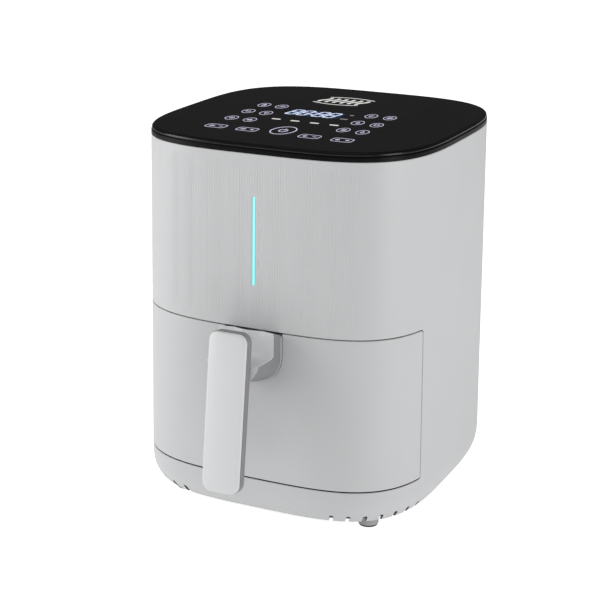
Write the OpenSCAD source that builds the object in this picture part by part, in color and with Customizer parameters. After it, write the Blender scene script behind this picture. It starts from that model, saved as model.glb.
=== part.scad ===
/* [Housing] */
// Width across the top of the housing
body_w = 260; // [217:1:312]
// Depth of the housing at its top, without the handle
body_d = 267.4; // [230:0.1:320]
// Height from the lower edge of the housing to the top of the panel
body_h = 321; // [268:1:385]
// Extra half width gained from the top down to the lower edge
flare = 3.6; // [0:0.1:6]
// Squareness of the rounded outline, where 2 is an ellipse
corner_n = 3.55; // [3:0.05:4.5]
// Wall of the moulded housing
wall = 2.6; // [2:0.1:3.2]
// Height over which the lower edge rounds inwards
skirt_h = 34; // [28:1:42]
// How far the lower edge is drawn in
skirt_in = 8.7; // [6:0.1:11]
// How late and sharply the lower edge rounds in, where 2 is a plain arc
skirt_q = 3.85; // [2:0.05:5]
// Height of the lower edge above the table
foot_gap = 12; // [9:0.5:16]

/* [Drawer] */
// Height of the drawer's lower seam above the lower edge
seam_low = 30.4; // [28:0.1:34]
// Height of the drawer front, as a share of the housing's height
drawer_share = 0.4212; // [0.4:0.0001:0.44]
// Depth of the two side seams in front of the housing centre
seam_y = 73; // [65:1:85]
// Gap along the seams
seam_gap = 0.8; // [0.5:0.1:1.2]
// Wall of the drawer front
front_t = 2.6; // [2:0.1:3.2]
// Distance from the housing centre to the back of the drawer front
front_back_y = 110; // [106:1:113]
// Sheet of the pot
pot_t = 1.2; // [0.8:0.1:2]
// Corner radius of the pot
pot_r = 34; // [28:1:40]
// Height of the pot's rim below the upper seam
pot_drop = 8; // [6:1:15]
// Height of the crisper plate above the pot's floor
tray_lift = 16; // [12:1:25]
// Thickness of the crisper plate
tray_t = 2; // [1.5:0.1:3]

/* [Handle] */
// Width of the grip
grip_w = 35; // [32:1:42]
// Height of the grip
grip_h = 135.5; // [120:0.1:162]
// Thickness of the rear half of the grip
grip_t = 9; // [8:0.5:11]
// Thickness of the grip's front cover
cover_t = 5; // [4:0.5:6]
// Corner radius of the grip
grip_r = 8.5; // [6:0.5:12]
// Lean of the grip, its foot outwards
grip_lean = 7; // [0:0.1:8]
// Furthest reach of the grip in front of the housing centre
grip_reach = 199.8; // [192:0.1:210]
// Height of the grip's foot above the lower edge of the housing
grip_foot = 42.2; // [36:0.1:50]
// Width of the neck where it meets the drawer
neck_w = 51.6; // [46:0.2:60]
// Height of the neck below the upper seam
neck_h = 43.9; // [40:0.1:52]
// Height of the arm that carries the grip
arm_h = 26.7; // [22:0.1:32]
// Depth of the neck's shield in front of the drawer
shield_t = 13; // [9:1:16]
// Height of the shield's front lip above the upper seam
lip_h = 4.5; // [0:0.5:6]
// How far the arm's underside rises from the shield to the grip
arm_rise = 14; // [10:0.5:17]

/* [Top] */
// Height of the black trim ring
trim_h = 4.6; // [3:0.1:6]
// Height of the panel above the trim ring
panel_h = 3.2; // [2.5:0.1:4]
// Edge radius of the panel
panel_edge = 2.4; // [1:0.1:2.5]
// Height of the light strip
strip_h = 75.4; // [60:0.2:80]
// Width of the light strip
strip_w = 3; // [2:0.1:4]
// Height of the strip's lower end above the upper seam
strip_foot = 37.4; // [30:0.1:42]

/* [Chamber] */
// Space between the housing and the chamber's side walls
chamber_gap = 13; // [11:0.5:16]
// Sheet of the chamber and the reflector
sheet = 0.8; // [0.6:0.1:1.2]
// Space between the chamber and the pot
pot_gap = 8; // [6:0.5:10]
// Height of the hood above the drawer's upper seam
hood_h = 34; // [32:1:38]
// Radius of the heating coil
coil_r = 66; // [60:1:70]
// Radius of the heating tube
tube_r = 3.2; // [3:0.1:3.6]
// Radius of the hot air fan
fan_r = 52; // [45:1:58]
// Number of blades on each fan
blades = 9; // [6:1:12]
// Radius of the fan shaft
shaft_r = 3; // [2.5:0.1:4]
// Radial clearance of the shaft in its bushes
shaft_clear = 0.05; // [0.02:0.01:0.1]
// Radius of the motor
motor_r = 29; // [26:1:32]
// Height of the motor
motor_h = 30; // [26:1:32]

/* [Details] */
// Radius of a foot
foot_r = 8.8; // [8:0.1:11]
// Place of the feet, as a share of the housing's half width and half depth
foot_share = 0.688; // [0.6:0.002:0.7]
// Width of a vent notch in the lower edge
notch_w = 3.6; // [3:0.1:4.5]
// Height of a vent notch
notch_h = 7.2; // [4:0.1:8]
// Distance between the vent notches
notch_pitch = 14; // [12:0.5:16]
// Vent notches at each corner
notches = 7; // [5:1:7]
// Width of the air outlet at the back
outlet_w = 96; // [80:1:110]
// Height of the air outlet
outlet_h = 64; // [50:1:66]
// Depth of the spacer behind the housing
spacer_d = 8; // [6:1:12]
// Diameter of the mains lead that the inlet bush takes
lead_d = 7; // [6:0.5:8]

/* [Hidden] */

fit = 0.3;
strip_gap = 0.1;
through = 1;
far = 60;
bore = 9;
facets = 96;
round_fn = 48;
small_fn = 24;

// Heights above the table
low_z = foot_gap;
top_z = foot_gap + body_h;
shell_top = top_z - panel_h - trim_h;
seam_z0 = low_z + seam_low;
drawer_h = drawer_share * body_h;
seam_z1 = seam_z0 + drawer_h;

// The housing centre stands behind the frame origin, because the handle counts in the depth
rear_reach = body_d / 2 * (1 + 2 * flare / body_w) + spacer_d;
body_y = (grip_reach - rear_reach) / 2;

// Chamber and pot
chamber_w = body_w - 2 * (wall + chamber_gap);
chamber_back = body_d / 2 - wall - chamber_gap - 6;
chamber_r = pot_r + pot_gap;
floor_z = seam_z0 - 3;
hood_z0 = seam_z1 + 2.4;
hood_z1 = seam_z1 + hood_h;
rail_h = 3;
pot_w = chamber_w - 2 * (sheet + pot_gap);
pot_back = chamber_back - sheet - pot_gap;
pot_z0 = floor_z + sheet + rail_h + fit;
pot_z1 = seam_z1 - pot_drop;
inner_t = 2;
side_x = pot_w / 2 + 5;
core_r = pot_r + 5;
lip = 2;
pot_front = front_back_y - inner_t - fit;
pot_mid = (pot_back - pot_front) / 2;
pot_d = pot_back + pot_front;
hood_front = body_d / 2 - wall - 18;
hood_mid = (chamber_back - hood_front) / 2;
hood_d = chamber_back + hood_front;

// Crisper plate
tray_z = pot_z0 + pot_t + tray_lift;
tray_w = pot_w - 2 * (pot_t + 1.5);
tray_d = pot_d - 2 * (pot_t + 1.5);
tray_r = pot_r - pot_t - 1.5;
bumper_x = tray_w / 2 - 16;
bumper_y = tray_d / 2 - 16;
slot_pitch = (tray_d - 34) / 5;
slot_l = slot_pitch - 6;
slots_x = floor((tray_w / 2 - 16) / 12) - 1;

// Lower parts
chamber_mid = (chamber_back - seam_y + 3) / 2;
foot_stem_r = 3;
cover_t_low = 2.4;
cover_z = low_z + 1.6;
flange_z = cover_z + cover_t_low;
flange_t = 2.4;
flange_w = 26;
chassis_z = flange_z + flange_t;
rail_x = 60;
rail_w = 10;
screw_r = 1.6;
base_screw_x = chamber_w / 2 - 15.5;
base_screw_y = 45;
foot_x = body_w / 2 * foot_share;
foot_y = body_d / 2 * foot_share;

// Fan stack, from the hood upwards
stack_y = pot_mid;
guard_z = hood_z0 + 3;
coil_z = guard_z + 9;
fan_z = coil_z + 6;
fan_h = 9;
terminal_x = 12;
coil_arc_y = sqrt(coil_r * coil_r - terminal_x * terminal_x);
dish_r = 84;
wire = 1.8;
guard_r = min(chamber_w, hood_d) / 2 - sheet - 4;
probe_xy = 68;
probe_r = 2.4;
power_x = -79;
reflector_z = hood_z1 - sheet - 2.2;
plate_z = hood_z1 + 20;
plate_t = 1.6;
plate_w = 96;
plate_d = 82;
standoff_x = 43;
standoff_y = 36;
bush_h = 5;
bush_or = shaft_r + 4;
motor_z = plate_z + plate_t;
cool_z = hood_z1 + 4;
cool_h = 11;
cool_r = 38;
shaft_top = motor_z + motor_h + 4;
duct_z = hood_z1 + 0.5;
duct_h = plate_z - duct_z - 0.5;
duct_front = cool_r + 4;
duct_w = 84;
duct_back = body_d / 2 - wall - 4;
duct_t = 1.5;
duct_box_d = 16;
duct_box_w = outlet_w + 2;

// Boards below the panel
board_t = 1.6;
board_w = 150;
board_d = 92;
board_y = -16;
display_x = -6;
display_y = 4;
board_z = shell_top - 14;
display_w = 62;
display_d = 22;

// Air outlet and inlet bush at the back
outlet_z = duct_z + 3;
bush_x = 70;
bush_z = 58;
bush_r = lead_d / 2 + 3.4;
bush_y = half_d(bush_z, 0) * pow(1 - pow(bush_x / half_w(bush_z, 0), corner_n), 1 / corner_n);
grille_screw_x = outlet_w / 2 - 4.5;
grille_screw_z = outlet_h / 2 - 4.5;

// Neck and grip
neck_top = seam_z1 - seam_gap;
neck_z0 = neck_top - neck_h;
neck_r = neck_w / 2 - 2;
arm_top = neck_z0 + arm_h;
arm_fillet = 4;
arm_run = 25.5;
neck_gap = 0.8;
face_y = body_d / 2 * (1 + 2 * flare / body_w * (top_z - neck_top) / body_h);
grip_z0 = low_z + grip_foot;
arm_end_w = neck_w - 5;

// Growth of the outline from the top down
function grow(z) = 1 + 2 * flare / body_w * (top_z - z) / body_h;

// How far the lower edge has curved in at height z
function tuck(z) = skirt_in * pow(max(low_z + skirt_h - z, 0) / skirt_h, skirt_q);

// One point of the housing outline at polar angle a, drawn in by inset, at height z
function half_w(z, inset) = body_w / 2 * grow(z) - tuck(z) - inset;
function half_d(z, inset) = body_d / 2 * grow(z) - tuck(z) - inset;
function reach(a, hw, hd) = pow(pow(abs(cos(a)) / hw, corner_n) + pow(abs(sin(a)) / hd, corner_n), -1 / corner_n);
function rim(a, z, inset) = reach(a, half_w(z, inset), half_d(z, inset)) * [cos(a), sin(a)];
function rim3(a, z, inset) = let (p = rim(a, z, inset)) [p[0], p[1], z];

// Polar angle at which the outline at height z is y in front of the centre, on the right
function seam_angle(y, z, inset) =
    let (hw = half_w(z, inset), hd = half_d(z, inset), x = hw * pow(1 - pow(y / hd, corner_n), 1 / corner_n))
    -atan2(y, x);

// Rounded rectangle as a polygon, centred
function round_box(w, d, r, n = 8) = [
    for (q = [0:3], i = [0:n])
        let (a = 90 * q + 90 * i / n, sx = (q == 0 || q == 3) ? 1 : -1, sy = q < 2 ? 1 : -1)
        [sx * (w / 2 - r) + r * cos(a), sy * (d / 2 - r) + r * sin(a)]
];

module at_body() translate([0, body_y, 0]) children();

// Vertical prism of a rounded rectangle
module slab(w, d, r, z0, h, y = 0) translate([0, y, z0]) linear_extrude(h) polygon(round_box(w, d, r));

// Prism that follows the housing outline at height z
module outline_slab(z, h, inset) translate([0, 0, z])
    linear_extrude(h) polygon([for (i = [0:facets - 1]) rim(360 * i / facets, z, inset)]);

// Closed wall between two insets of the housing outline, through the heights zs
module housing_wall(zs, outer, inner) {
    n = len(zs);
    rows = concat(
        [for (i = [0:n - 1], k = [0:facets - 1]) rim3(360 * k / facets, zs[i], outer)],
        [for (i = [0:n - 1], k = [0:facets - 1]) rim3(360 * k / facets, zs[i], inner)]);
    function at(i, k) = i * facets + k % facets;
    function in_at(i, k) = (n + i) * facets + k % facets;
    faces = concat(
        [for (i = [0:n - 2], k = [0:facets - 1]) [at(i, k), at(i + 1, k), at(i + 1, k + 1), at(i, k + 1)]],
        [for (i = [0:n - 2], k = [0:facets - 1]) [in_at(i, k), in_at(i, k + 1), in_at(i + 1, k + 1), in_at(i + 1, k)]],
        [for (k = [0:facets - 1]) [at(0, k), at(0, k + 1), in_at(0, k + 1), in_at(0, k)]],
        [for (k = [0:facets - 1]) [at(n - 1, k), in_at(n - 1, k), in_at(n - 1, k + 1), at(n - 1, k + 1)]]);
    polyhedron(rows, faces, convexity = 8);
}

// Wall that follows the outline only across the front, from seam to seam
module front_wall(z0, z1, outer, thickness, y) {
    steps = 48;
    zs = [z0, (z0 + z1) / 2, z1];
    function edge(z, inset) = seam_angle(y, z, inset);
    function swept(i, z, inset) = -90 + (90 + edge(z, inset)) * (2 * i / steps - 1);
    rows = concat(
        [for (z = zs, i = [0:steps]) rim3(swept(i, z, outer), z, outer)],
        [for (z = zs, i = [0:steps]) rim3(swept(i, z, outer + thickness), z, outer + thickness)]);
    m = steps + 1;
    n = 3 * m;
    faces = concat(
        [for (j = [0:1], i = [0:steps - 1]) [j * m + i, (j + 1) * m + i, (j + 1) * m + i + 1, j * m + i + 1]],
        [for (j = [0:1], i = [0:steps - 1])
            [n + j * m + i, n + j * m + i + 1, n + (j + 1) * m + i + 1, n + (j + 1) * m + i]],
        [for (i = [0:steps - 1]) [i, i + 1, n + i + 1, n + i]],
        [for (i = [0:steps - 1]) [2 * m + i, n + 2 * m + i, n + 2 * m + i + 1, 2 * m + i + 1]],
        [for (j = [0:1]) [j * m, n + j * m, n + (j + 1) * m, (j + 1) * m]],
        [for (j = [0:1]) [j * m + steps, (j + 1) * m + steps, n + (j + 1) * m + steps, n + j * m + steps]]);
    polyhedron(rows, faces, convexity = 6);
}

// Pan head screw, pointing up from its head
module screw(head_r, head_h, r, h) {
    cylinder(h = head_h, r = head_r, $fn = small_fn);
    cylinder(h = head_h + h, r = r, $fn = small_fn);
}

module four(x, y) for (sx = [-1, 1], sy = [-1, 1]) translate([sx * x, sy * y, 0]) children();

// Arc of vent notches round one corner of the lower edge
module corner_notches() {
    mid = 45;
    step = notch_pitch / reach(mid, half_w(low_z, 0), half_d(low_z, 0)) * 180 / PI;
    for (i = [0:notches - 1]) rotate([0, 0, mid + (i - (notches - 1) / 2) * step])
        translate([body_w / 2 - 20, -notch_w / 2, low_z - through])
            cube([far, notch_w, notch_h + through]);
}

module outer_shell() color("#d9dadb") at_body() {
    difference() {
        housing_wall(concat([for (i = [0:9]) low_z + skirt_h * pow(i / 9, 1.4)], [seam_z1 + 40, shell_top]), 0, wall);
        translate([-body_w, -body_d, seam_z0]) cube([2 * body_w, body_d - seam_y, drawer_h]);
        translate([-strip_w / 2, -body_d, seam_z1 + strip_foot]) cube([strip_w, body_d, strip_h]);
        translate([-outlet_w / 2 - fit, 0, outlet_z - fit]) cube([outlet_w + 2 * fit, body_d, outlet_h + 2 * fit]);
        translate([bush_x, 0, bush_z]) rotate([-90, 0, 0]) cylinder(h = body_d, r = bush_r + fit / 3, $fn = round_fn);
        for (q = [0, 1], s = [0, 1]) mirror([q, 0, 0]) mirror([0, s, 0]) corner_notches();
    }
    difference() {
        outline_slab(flange_z, flange_t, wall / 2);
        slab(body_w - 2 * (flange_w + skirt_in), body_d - 2 * (flange_w + skirt_in), 60, flange_z - through, bore);
        four(base_screw_x, base_screw_y) translate([0, 0, flange_z - through])
            cylinder(h = bore, r = screw_r + 0.05, $fn = small_fn);
    }
}

module bottom_cover() color("#cfd0d1") at_body() difference() {
    outline_slab(cover_z, cover_t_low, wall + 1.2);
    for (i = [-6:6]) translate([i * 9 - 1.75, -45, cover_z - through]) cube([3.5, 90, bore]);
    four(base_screw_x, base_screw_y) translate([0, 0, cover_z - through])
        cylinder(h = bore, r = screw_r + 0.15, $fn = small_fn);
    four(foot_x, foot_y) translate([0, 0, cover_z - through]) cylinder(h = bore, r = 3.1, $fn = small_fn);
}

module feet() color("#8b8d90") at_body() four(foot_x, foot_y) {
    rotate_extrude($fn = round_fn)
        polygon([[0, 0], [foot_r - 1.5, 0], [foot_r, 1.5], [foot_r, cover_z], [0, cover_z]]);
    translate([0, 0, cover_z]) cylinder(h = cover_t_low, r = foot_stem_r, $fn = small_fn);
}

module base_screws() color("#55585c") at_body() four(base_screw_x, base_screw_y)
    translate([0, 0, cover_z - 1.6]) screw(3, 1.6, screw_r, cover_t_low + flange_t + 3);

module chassis_ring() color("#3d3f42") at_body() difference() {
    slab(chamber_w - 2, chamber_back + seam_y - 3, chamber_r, chassis_z, floor_z - chassis_z, chamber_mid);
    slab(chamber_w - 14, chamber_back + seam_y - 15, chamber_r - 6, chassis_z - through, far, chamber_mid);
}

module top_trim_ring() color("#111214") at_body() difference() {
    outline_slab(shell_top, trim_h, 0);
    outline_slab(shell_top - through, trim_h + 2 * through, wall + 4);
}

// Plate with a rounded upper edge, in four steps of a quarter circle
module top_panel() color("#0c0c0e") at_body() {
    steps = 4;
    z0 = shell_top + trim_h;
    levels = concat([[z0, 0.4]], [
        for (i = [0:steps]) let (a = 90 * i / steps)
            [top_z - panel_edge * (1 - sin(a)), 0.4 + panel_edge * (1 - cos(a))]
    ]);
    n = len(levels);
    rows = [for (l = levels, k = [0:facets - 1]) let (p = rim(360 * k / facets, z0, l[1])) [p[0], p[1], l[0]]];
    faces = concat(
        [[for (k = [0:facets - 1]) k]],
        [[for (k = [facets - 1:-1:0]) (n - 1) * facets + k]],
        [for (i = [0:n - 2], k = [0:facets - 1]) [
            i * facets + k, (i + 1) * facets + k, (i + 1) * facets + (k + 1) % facets, i * facets + (k + 1) % facets
        ]]);
    polyhedron(rows, faces, convexity = 4);
}

module light_strip() color("#6fe0e2") at_body() {
    z0 = seam_z1 + strip_foot + strip_gap;
    z1 = seam_z1 + strip_foot + strip_h - strip_gap;
    y0 = -half_d(z0, 0);
    y1 = -half_d(z1, 0);
    t = wall + 1.5;
    translate([strip_gap - strip_w / 2, 0, 0]) rotate([90, 0, 90]) linear_extrude(strip_w - 2 * strip_gap)
        polygon([[y0, z0], [y0 + t, z0], [y1 + t, z1], [y1, z1]]);
}

module led_board() color("#2f6b46") at_body()
    translate([-7, -half_d(seam_z1 + strip_foot + strip_h, 0) + wall + 1.8, seam_z1 + strip_foot - 3])
        cube([14, board_t, strip_h + 6]);

module board_tray() color("#2b2c2f") at_body() {
    slab(board_w + 16, board_d + 10, 8, board_z - 2, 2, board_y);
    translate([0, board_y, board_z]) four(board_w / 2 + 4, board_d / 2 - 4)
        cylinder(h = shell_top + trim_h - board_z, r = 3.4, $fn = small_fn);
}

module control_board() color("#2f6b46") at_body()
    translate([-board_w / 2, board_y - board_d / 2, board_z]) cube([board_w, board_d, board_t]);

module display_module() color("#1d2230") at_body()
    translate([display_x - display_w / 2, display_y - display_d / 2, board_z + board_t])
        cube([display_w, display_d, shell_top + trim_h - board_z - board_t]);

// Springs between the board and the panel under each touch key
module touch_springs() color("#c9b26a") at_body() {
    h = shell_top + trim_h - board_z - board_t;
    spots = concat(
        [for (x = [-62, -46, 38, 54], y = [18, -12, -42]) [x, y]],
        [for (x = [-60, -30, 28, 58]) [x, -56]]);
    for (p = spots) translate([p[0], p[1], board_z + board_t]) cylinder(h = h, r = 3, $fn = small_fn);
}

module power_board() color("#b8a24a") at_body() translate([power_x, stack_y, hood_z1]) {
    four(20, 52) cylinder(h = 6, r = 3, $fn = small_fn);
    translate([-25, -58, 6]) cube([50, 116, board_t]);
    translate([-16, -40, 6]) cube([32, 28, 24]);
    translate([-18, 4, 6]) cube([20, 16, 18]);
    translate([6, 34, 6]) cylinder(h = 26, r = 8, $fn = round_fn);
}

// Sheet chamber: walls beside the pot, open to the front, under a hood that is open below
module chamber_liner() color("#a9adb1") at_body() difference() {
    slab(chamber_w, hood_d, chamber_r, floor_z, hood_z1 - floor_z, hood_mid);
    slab(chamber_w - 2 * sheet, hood_d - 2 * sheet, chamber_r - sheet, floor_z + sheet,
        hood_z1 - floor_z - 2 * sheet, hood_mid);
    translate([-body_w / 2, -body_d, floor_z - through]) cube([body_w, body_d - seam_y + 3, hood_z0 - floor_z + through]);
    translate([0, stack_y, hood_z1 - sheet - through]) cylinder(h = bore, r = shaft_r + 3, $fn = small_fn);
    for (s = [-1, 1]) translate([s * terminal_x, stack_y - coil_r, hood_z1 - sheet - through])
        cylinder(h = bore, r = tube_r + 0.8, $fn = small_fn);
    translate([probe_xy, stack_y - probe_xy, hood_z1 - sheet - through])
        cylinder(h = bore, r = probe_r + 0.3, $fn = small_fn);
}

module slide_rails() color("#2b2c2f") at_body() for (s = [-1, 1])
    translate([s * rail_x - rail_w / 2, 5 - seam_y, floor_z + sheet]) cube([rail_w, seam_y + 75, rail_h]);

// Shallow dish under the hood, with its rim turned down round the coil
module heat_reflector() color("#c3c6c8") at_body() translate([0, stack_y, reflector_z]) difference() {
    rotate_extrude($fn = round_fn) polygon([
        [0, 0], [dish_r - 8, 0], [dish_r, -12], [dish_r + 0.8, -12], [dish_r - 7.6, sheet], [0, sheet]
    ]);
    translate([0, 0, -5]) cylinder(h = bore, r = shaft_r + 3, $fn = small_fn);
    for (s = [-1, 1]) translate([s * terminal_x, -coil_r, -5]) cylinder(h = bore, r = tube_r + 0.8, $fn = small_fn);
}

module heating_element() color("#6d6862") at_body() translate([0, stack_y, coil_z]) {
    for (r = [coil_r, coil_r - 14]) rotate_extrude($fn = round_fn) translate([r, 0]) circle(r = tube_r, $fn = small_fn);
    translate([coil_r - 14, 0, 0]) rotate([0, 90, 0]) cylinder(h = 14, r = tube_r - 0.6, $fn = small_fn);
    for (s = [-1, 1]) translate([s * terminal_x, -coil_arc_y, 0])
        cylinder(h = hood_z1 + 9 - coil_z, r = tube_r - 0.6, $fn = small_fn);
}

// Round wire guard under the coil, as wide as the hood
module element_guard() color("#b9bcbf") at_body() translate([0, stack_y, guard_z]) {
    for (i = [1:5]) rotate_extrude($fn = round_fn) translate([guard_r * i / 5 - wire, 0]) square([wire, wire]);
    for (i = [0:7]) rotate([0, 0, 45 * i + 20]) translate([guard_r / 5 - wire / 2, -wire / 2, wire / 2])
        cube([guard_r * 4 / 5, wire, wire]);
}

module temperature_probe() color("#c9ccd0") at_body() translate([probe_xy, stack_y - probe_xy, 0]) {
    translate([0, 0, hood_z1]) cylinder(h = 3, r = probe_r + 3, $fn = small_fn);
    translate([0, 0, hood_z1 - 16]) cylinder(h = 22, r = probe_r, $fn = small_fn);
}

module thermal_fuse() color("#d8d2c0") at_body() translate([38, stack_y - 68, hood_z1]) {
    translate([-14, -4, 0]) cube([28, 8, 1]);
    cylinder(h = 8, r = 7, $fn = small_fn);
}

module motor_plate() color("#b4b7ba") at_body() translate([0, stack_y, plate_z]) difference() {
    translate([-plate_w / 2, -plate_d / 2, 0]) cube([plate_w, plate_d, plate_t]);
    translate([0, 0, -through]) cylinder(h = bore, r = 9, $fn = round_fn);
    four(standoff_x, standoff_y) translate([0, 0, -through]) cylinder(h = bore, r = screw_r + 0.15, $fn = small_fn);
}

module plate_standoffs() color("#c8cacc") at_body() translate([0, stack_y, hood_z1]) four(standoff_x, standoff_y)
    difference() {
        cylinder(h = plate_z - hood_z1, r = 3.4, $fn = small_fn);
        translate([0, 0, 4]) cylinder(h = far, r = screw_r + 0.05, $fn = small_fn);
    }

module fan_motor() color("#8c8f93") at_body() translate([0, stack_y, motor_z]) difference() {
    cylinder(h = motor_h, r = motor_r, $fn = round_fn);
    translate([0, 0, -through]) cylinder(h = motor_h + 2 * through, r = shaft_r + 1, $fn = small_fn);
    for (z = [-through, motor_h - bush_h]) translate([0, 0, z]) cylinder(h = bush_h + through, r = bush_or, $fn = round_fn);
}

module motor_bushes() color("#b08d4e") at_body() translate([0, stack_y, motor_z])
    for (z = [0, motor_h - bush_h]) translate([0, 0, z]) difference() {
        cylinder(h = bush_h, r = bush_or, $fn = round_fn);
        translate([0, 0, -through]) cylinder(h = bush_h + 2 * through, r = shaft_r + shaft_clear, $fn = round_fn);
    }

module motor_screws() color("#55585c") at_body() translate([0, stack_y, plate_z + plate_t + 1.8])
    four(standoff_x, standoff_y) rotate([180, 0, 0]) screw(3, 1.8, screw_r, plate_t + 10);

// Low duct from the cooling fan, rising into the box behind the outlet
module air_duct() color("#4a4d50") at_body() {
    front = stack_y + duct_front;
    rise = outlet_h + outlet_z - duct_z + 3;
    low_back = duct_back - duct_box_d;
    difference() {
        union() {
            translate([-duct_w / 2, front, duct_z]) cube([duct_w, low_back - front + 2, duct_h]);
            translate([-duct_box_w / 2, low_back, duct_z]) cube([duct_box_w, duct_box_d, rise]);
        }
        translate([duct_t - duct_w / 2, front - through, duct_z + duct_t])
            cube([duct_w - 2 * duct_t, low_back - front + 6, duct_h - 2 * duct_t]);
        translate([duct_t - duct_box_w / 2, low_back + duct_t, duct_z + duct_t])
            cube([duct_box_w - 2 * duct_t, duct_box_d, rise - 2 * duct_t]);
    }
}

module rear_outlet_grille() color("#d2d3d4") at_body() {
    depth = rear_reach - duct_back;
    zc = outlet_z + outlet_h / 2;
    slats = floor((outlet_w - 20) / 8);
    difference() {
        translate([-outlet_w / 2, duct_back, outlet_z]) cube([outlet_w, depth, outlet_h]);
        for (i = [0:slats - 1]) translate([(i - (slats - 1) / 2) * 8 - 2.2, duct_back - through, outlet_z + 8])
            cube([4.4, depth + 2 * through, outlet_h - 16]);
        for (sx = [-1, 1], sz = [-1, 1]) translate([sx * grille_screw_x, 0, zc + sz * grille_screw_z]) {
            translate([0, duct_back - through, 0]) rotate([-90, 0, 0]) cylinder(h = far, r = screw_r + 0.1, $fn = small_fn);
            translate([0, rear_reach - 4, 0]) rotate([-90, 0, 0]) cylinder(h = bore, r = 3.4, $fn = small_fn);
        }
    }
}

module grille_screws() color("#55585c") at_body() for (sx = [-1, 1], sz = [-1, 1])
    translate([sx * grille_screw_x, rear_reach - 2, outlet_z + outlet_h / 2 + sz * grille_screw_z])
        rotate([90, 0, 0]) screw(3, 2, screw_r, rear_reach - duct_back - 5);

// Flanged bush that the mains lead passes through
module inlet_bush() color("#2b2c2f") at_body() translate([bush_x, bush_y, bush_z]) rotate([-90, 0, 0]) difference() {
    union() {
        translate([0, 0, -8]) cylinder(h = 14, r = bush_r, $fn = round_fn);
        translate([0, 0, fit + 1.5]) cylinder(h = 2.5, r = bush_r + 2.5, $fn = round_fn);
    }
    translate([0, 0, -9]) cylinder(h = far / 2, r = lead_d / 2 + 0.1, $fn = round_fn);
}

// Switch below the drawer that cuts the heater when the drawer is out
module drawer_switch() color("#26282b") at_body() translate([62, 6 - body_d / 2 + flange_w / 2, chassis_z]) {
    cube([16, 9, seam_z0 - chassis_z - 4]);
    translate([5, 2, 5]) cube([6, 5, seam_z0 - chassis_z - 7.5]);
}

module fan_shaft() color("#c9ccd0") at_body() translate([0, stack_y, fan_z - 6])
    cylinder(h = shaft_top - fan_z + 6, r = shaft_r, $fn = round_fn);

// Bladed wheel, its blades standing on a disc and swept back
module wheel(r, h, hub_r, disc_t) {
    rotate_extrude($fn = round_fn)
        polygon([[shaft_r, 0], [r, 0], [r, disc_t], [hub_r, disc_t], [hub_r, h], [shaft_r, h]]);
    for (i = [0:blades - 1]) rotate([0, 0, 360 * (i + 0.3) / blades]) translate([hub_r * 0.8, 0, disc_t / 2])
        rotate([0, 0, 18]) cube([(r - hub_r) * 0.86, 1.2, h - disc_t / 2 - 0.4]);
}

module hot_air_fan() color("#b9bcbf") at_body() translate([0, stack_y, fan_z + fan_h]) mirror([0, 0, 1])
    wheel(fan_r, fan_h, 8, 1);

module cooling_fan() color("#303336") at_body() translate([0, stack_y, cool_z]) wheel(cool_r, cool_h, 9, 1.5);

module fan_nut() color("#c9ccd0") at_body() translate([0, stack_y, fan_z - 5]) difference() {
    cylinder(h = 4.6, r = shaft_r + 2.6, $fn = 6);
    translate([0, 0, -through]) cylinder(h = bore, r = shaft_r, $fn = round_fn);
}

// Outline of the neck on the drawer front, with its round lower end
module neck_profile(grow_by) {
    w = neck_w + 2 * grow_by;
    r = neck_r + grow_by;
    y = -front_back_y;
    translate([0, y, 0]) rotate([90, 0, 0]) linear_extrude(grip_reach) polygon(concat(
        [[w / 2, neck_top + lip_h + 20 * grow_by], [-w / 2, neck_top + lip_h + 20 * grow_by]],
        [for (a = [180:7.5:270]) [r - w / 2 + r * cos(a), neck_z0 - grow_by + r + r * sin(a)]],
        [for (a = [270:7.5:360]) [w / 2 - r + r * cos(a), neck_z0 - grow_by + r + r * sin(a)]]));
}

// Rounded block that the back of the drawer front wraps round
module front_core(inset, z, h) slab(2 * (side_x - inset), 2 * (front_back_y - inset), core_r - inset, z, h);

// U-shaped plate between the front's skin and the sides of the pot
module front_deck(z) difference() {
    outline_slab(z, front_t, front_t - 0.6);
    translate([-body_w, -seam_y - seam_gap, z - through]) cube([2 * body_w, 2 * body_d, bore]);
    front_core(0, z - through, bore);
}

module drawer_front() color("#cfd0d2") at_body() difference() {
    union() {
        front_wall(seam_z0 + seam_gap, neck_top, 0, front_t, seam_y + seam_gap);
        front_deck(seam_z0 + seam_gap + 0.4);
        front_deck(neck_top - front_t - 0.4);
    }
    neck_profile(0.5);
}

module drawer_inner_front() color("#9fa2a5") at_body() difference() {
    z0 = seam_z0 + seam_gap + 0.4;
    h = neck_top - 0.4 - z0;
    front_core(0, z0, h);
    front_core(inner_t, z0 - through, h + 2 * through);
    translate([-body_w, -seam_y - seam_gap, z0 - through]) cube([2 * body_w, 2 * body_d, h + 2 * through]);
    front_holes(screw_r + 0.15);
}

// Places of the screws that hold the pot and the neck to the front
module front_spots() for (x = [-16, 16], z = [pot_z1 - 14, pot_z1 - 30]) translate([x, pot_t - pot_front, z])
    rotate([90, 0, 0]) children();

module front_holes(r) front_spots() translate([0, 0, -9]) cylinder(h = far / 2, r = r, $fn = small_fn);

module front_screws() color("#b9bcbf") at_body() front_spots() translate([0, 0, -1.5])
    screw(2.8, 1.5, screw_r, pot_t + inner_t + 9);

module pot() color("#4a4c50") at_body() difference() {
    union() {
        slab(pot_w, pot_d, pot_r, pot_z0, pot_z1 - pot_z0, pot_mid);
        slab(pot_w + 2 * lip, pot_d, pot_r + lip, pot_z1 - 1.5, 1.5, pot_mid);
    }
    slab(pot_w - 2 * pot_t, pot_d - 2 * pot_t, pot_r - pot_t, pot_z0 + pot_t, body_h, pot_mid);
    front_holes(screw_r + 0.15);
}

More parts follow.
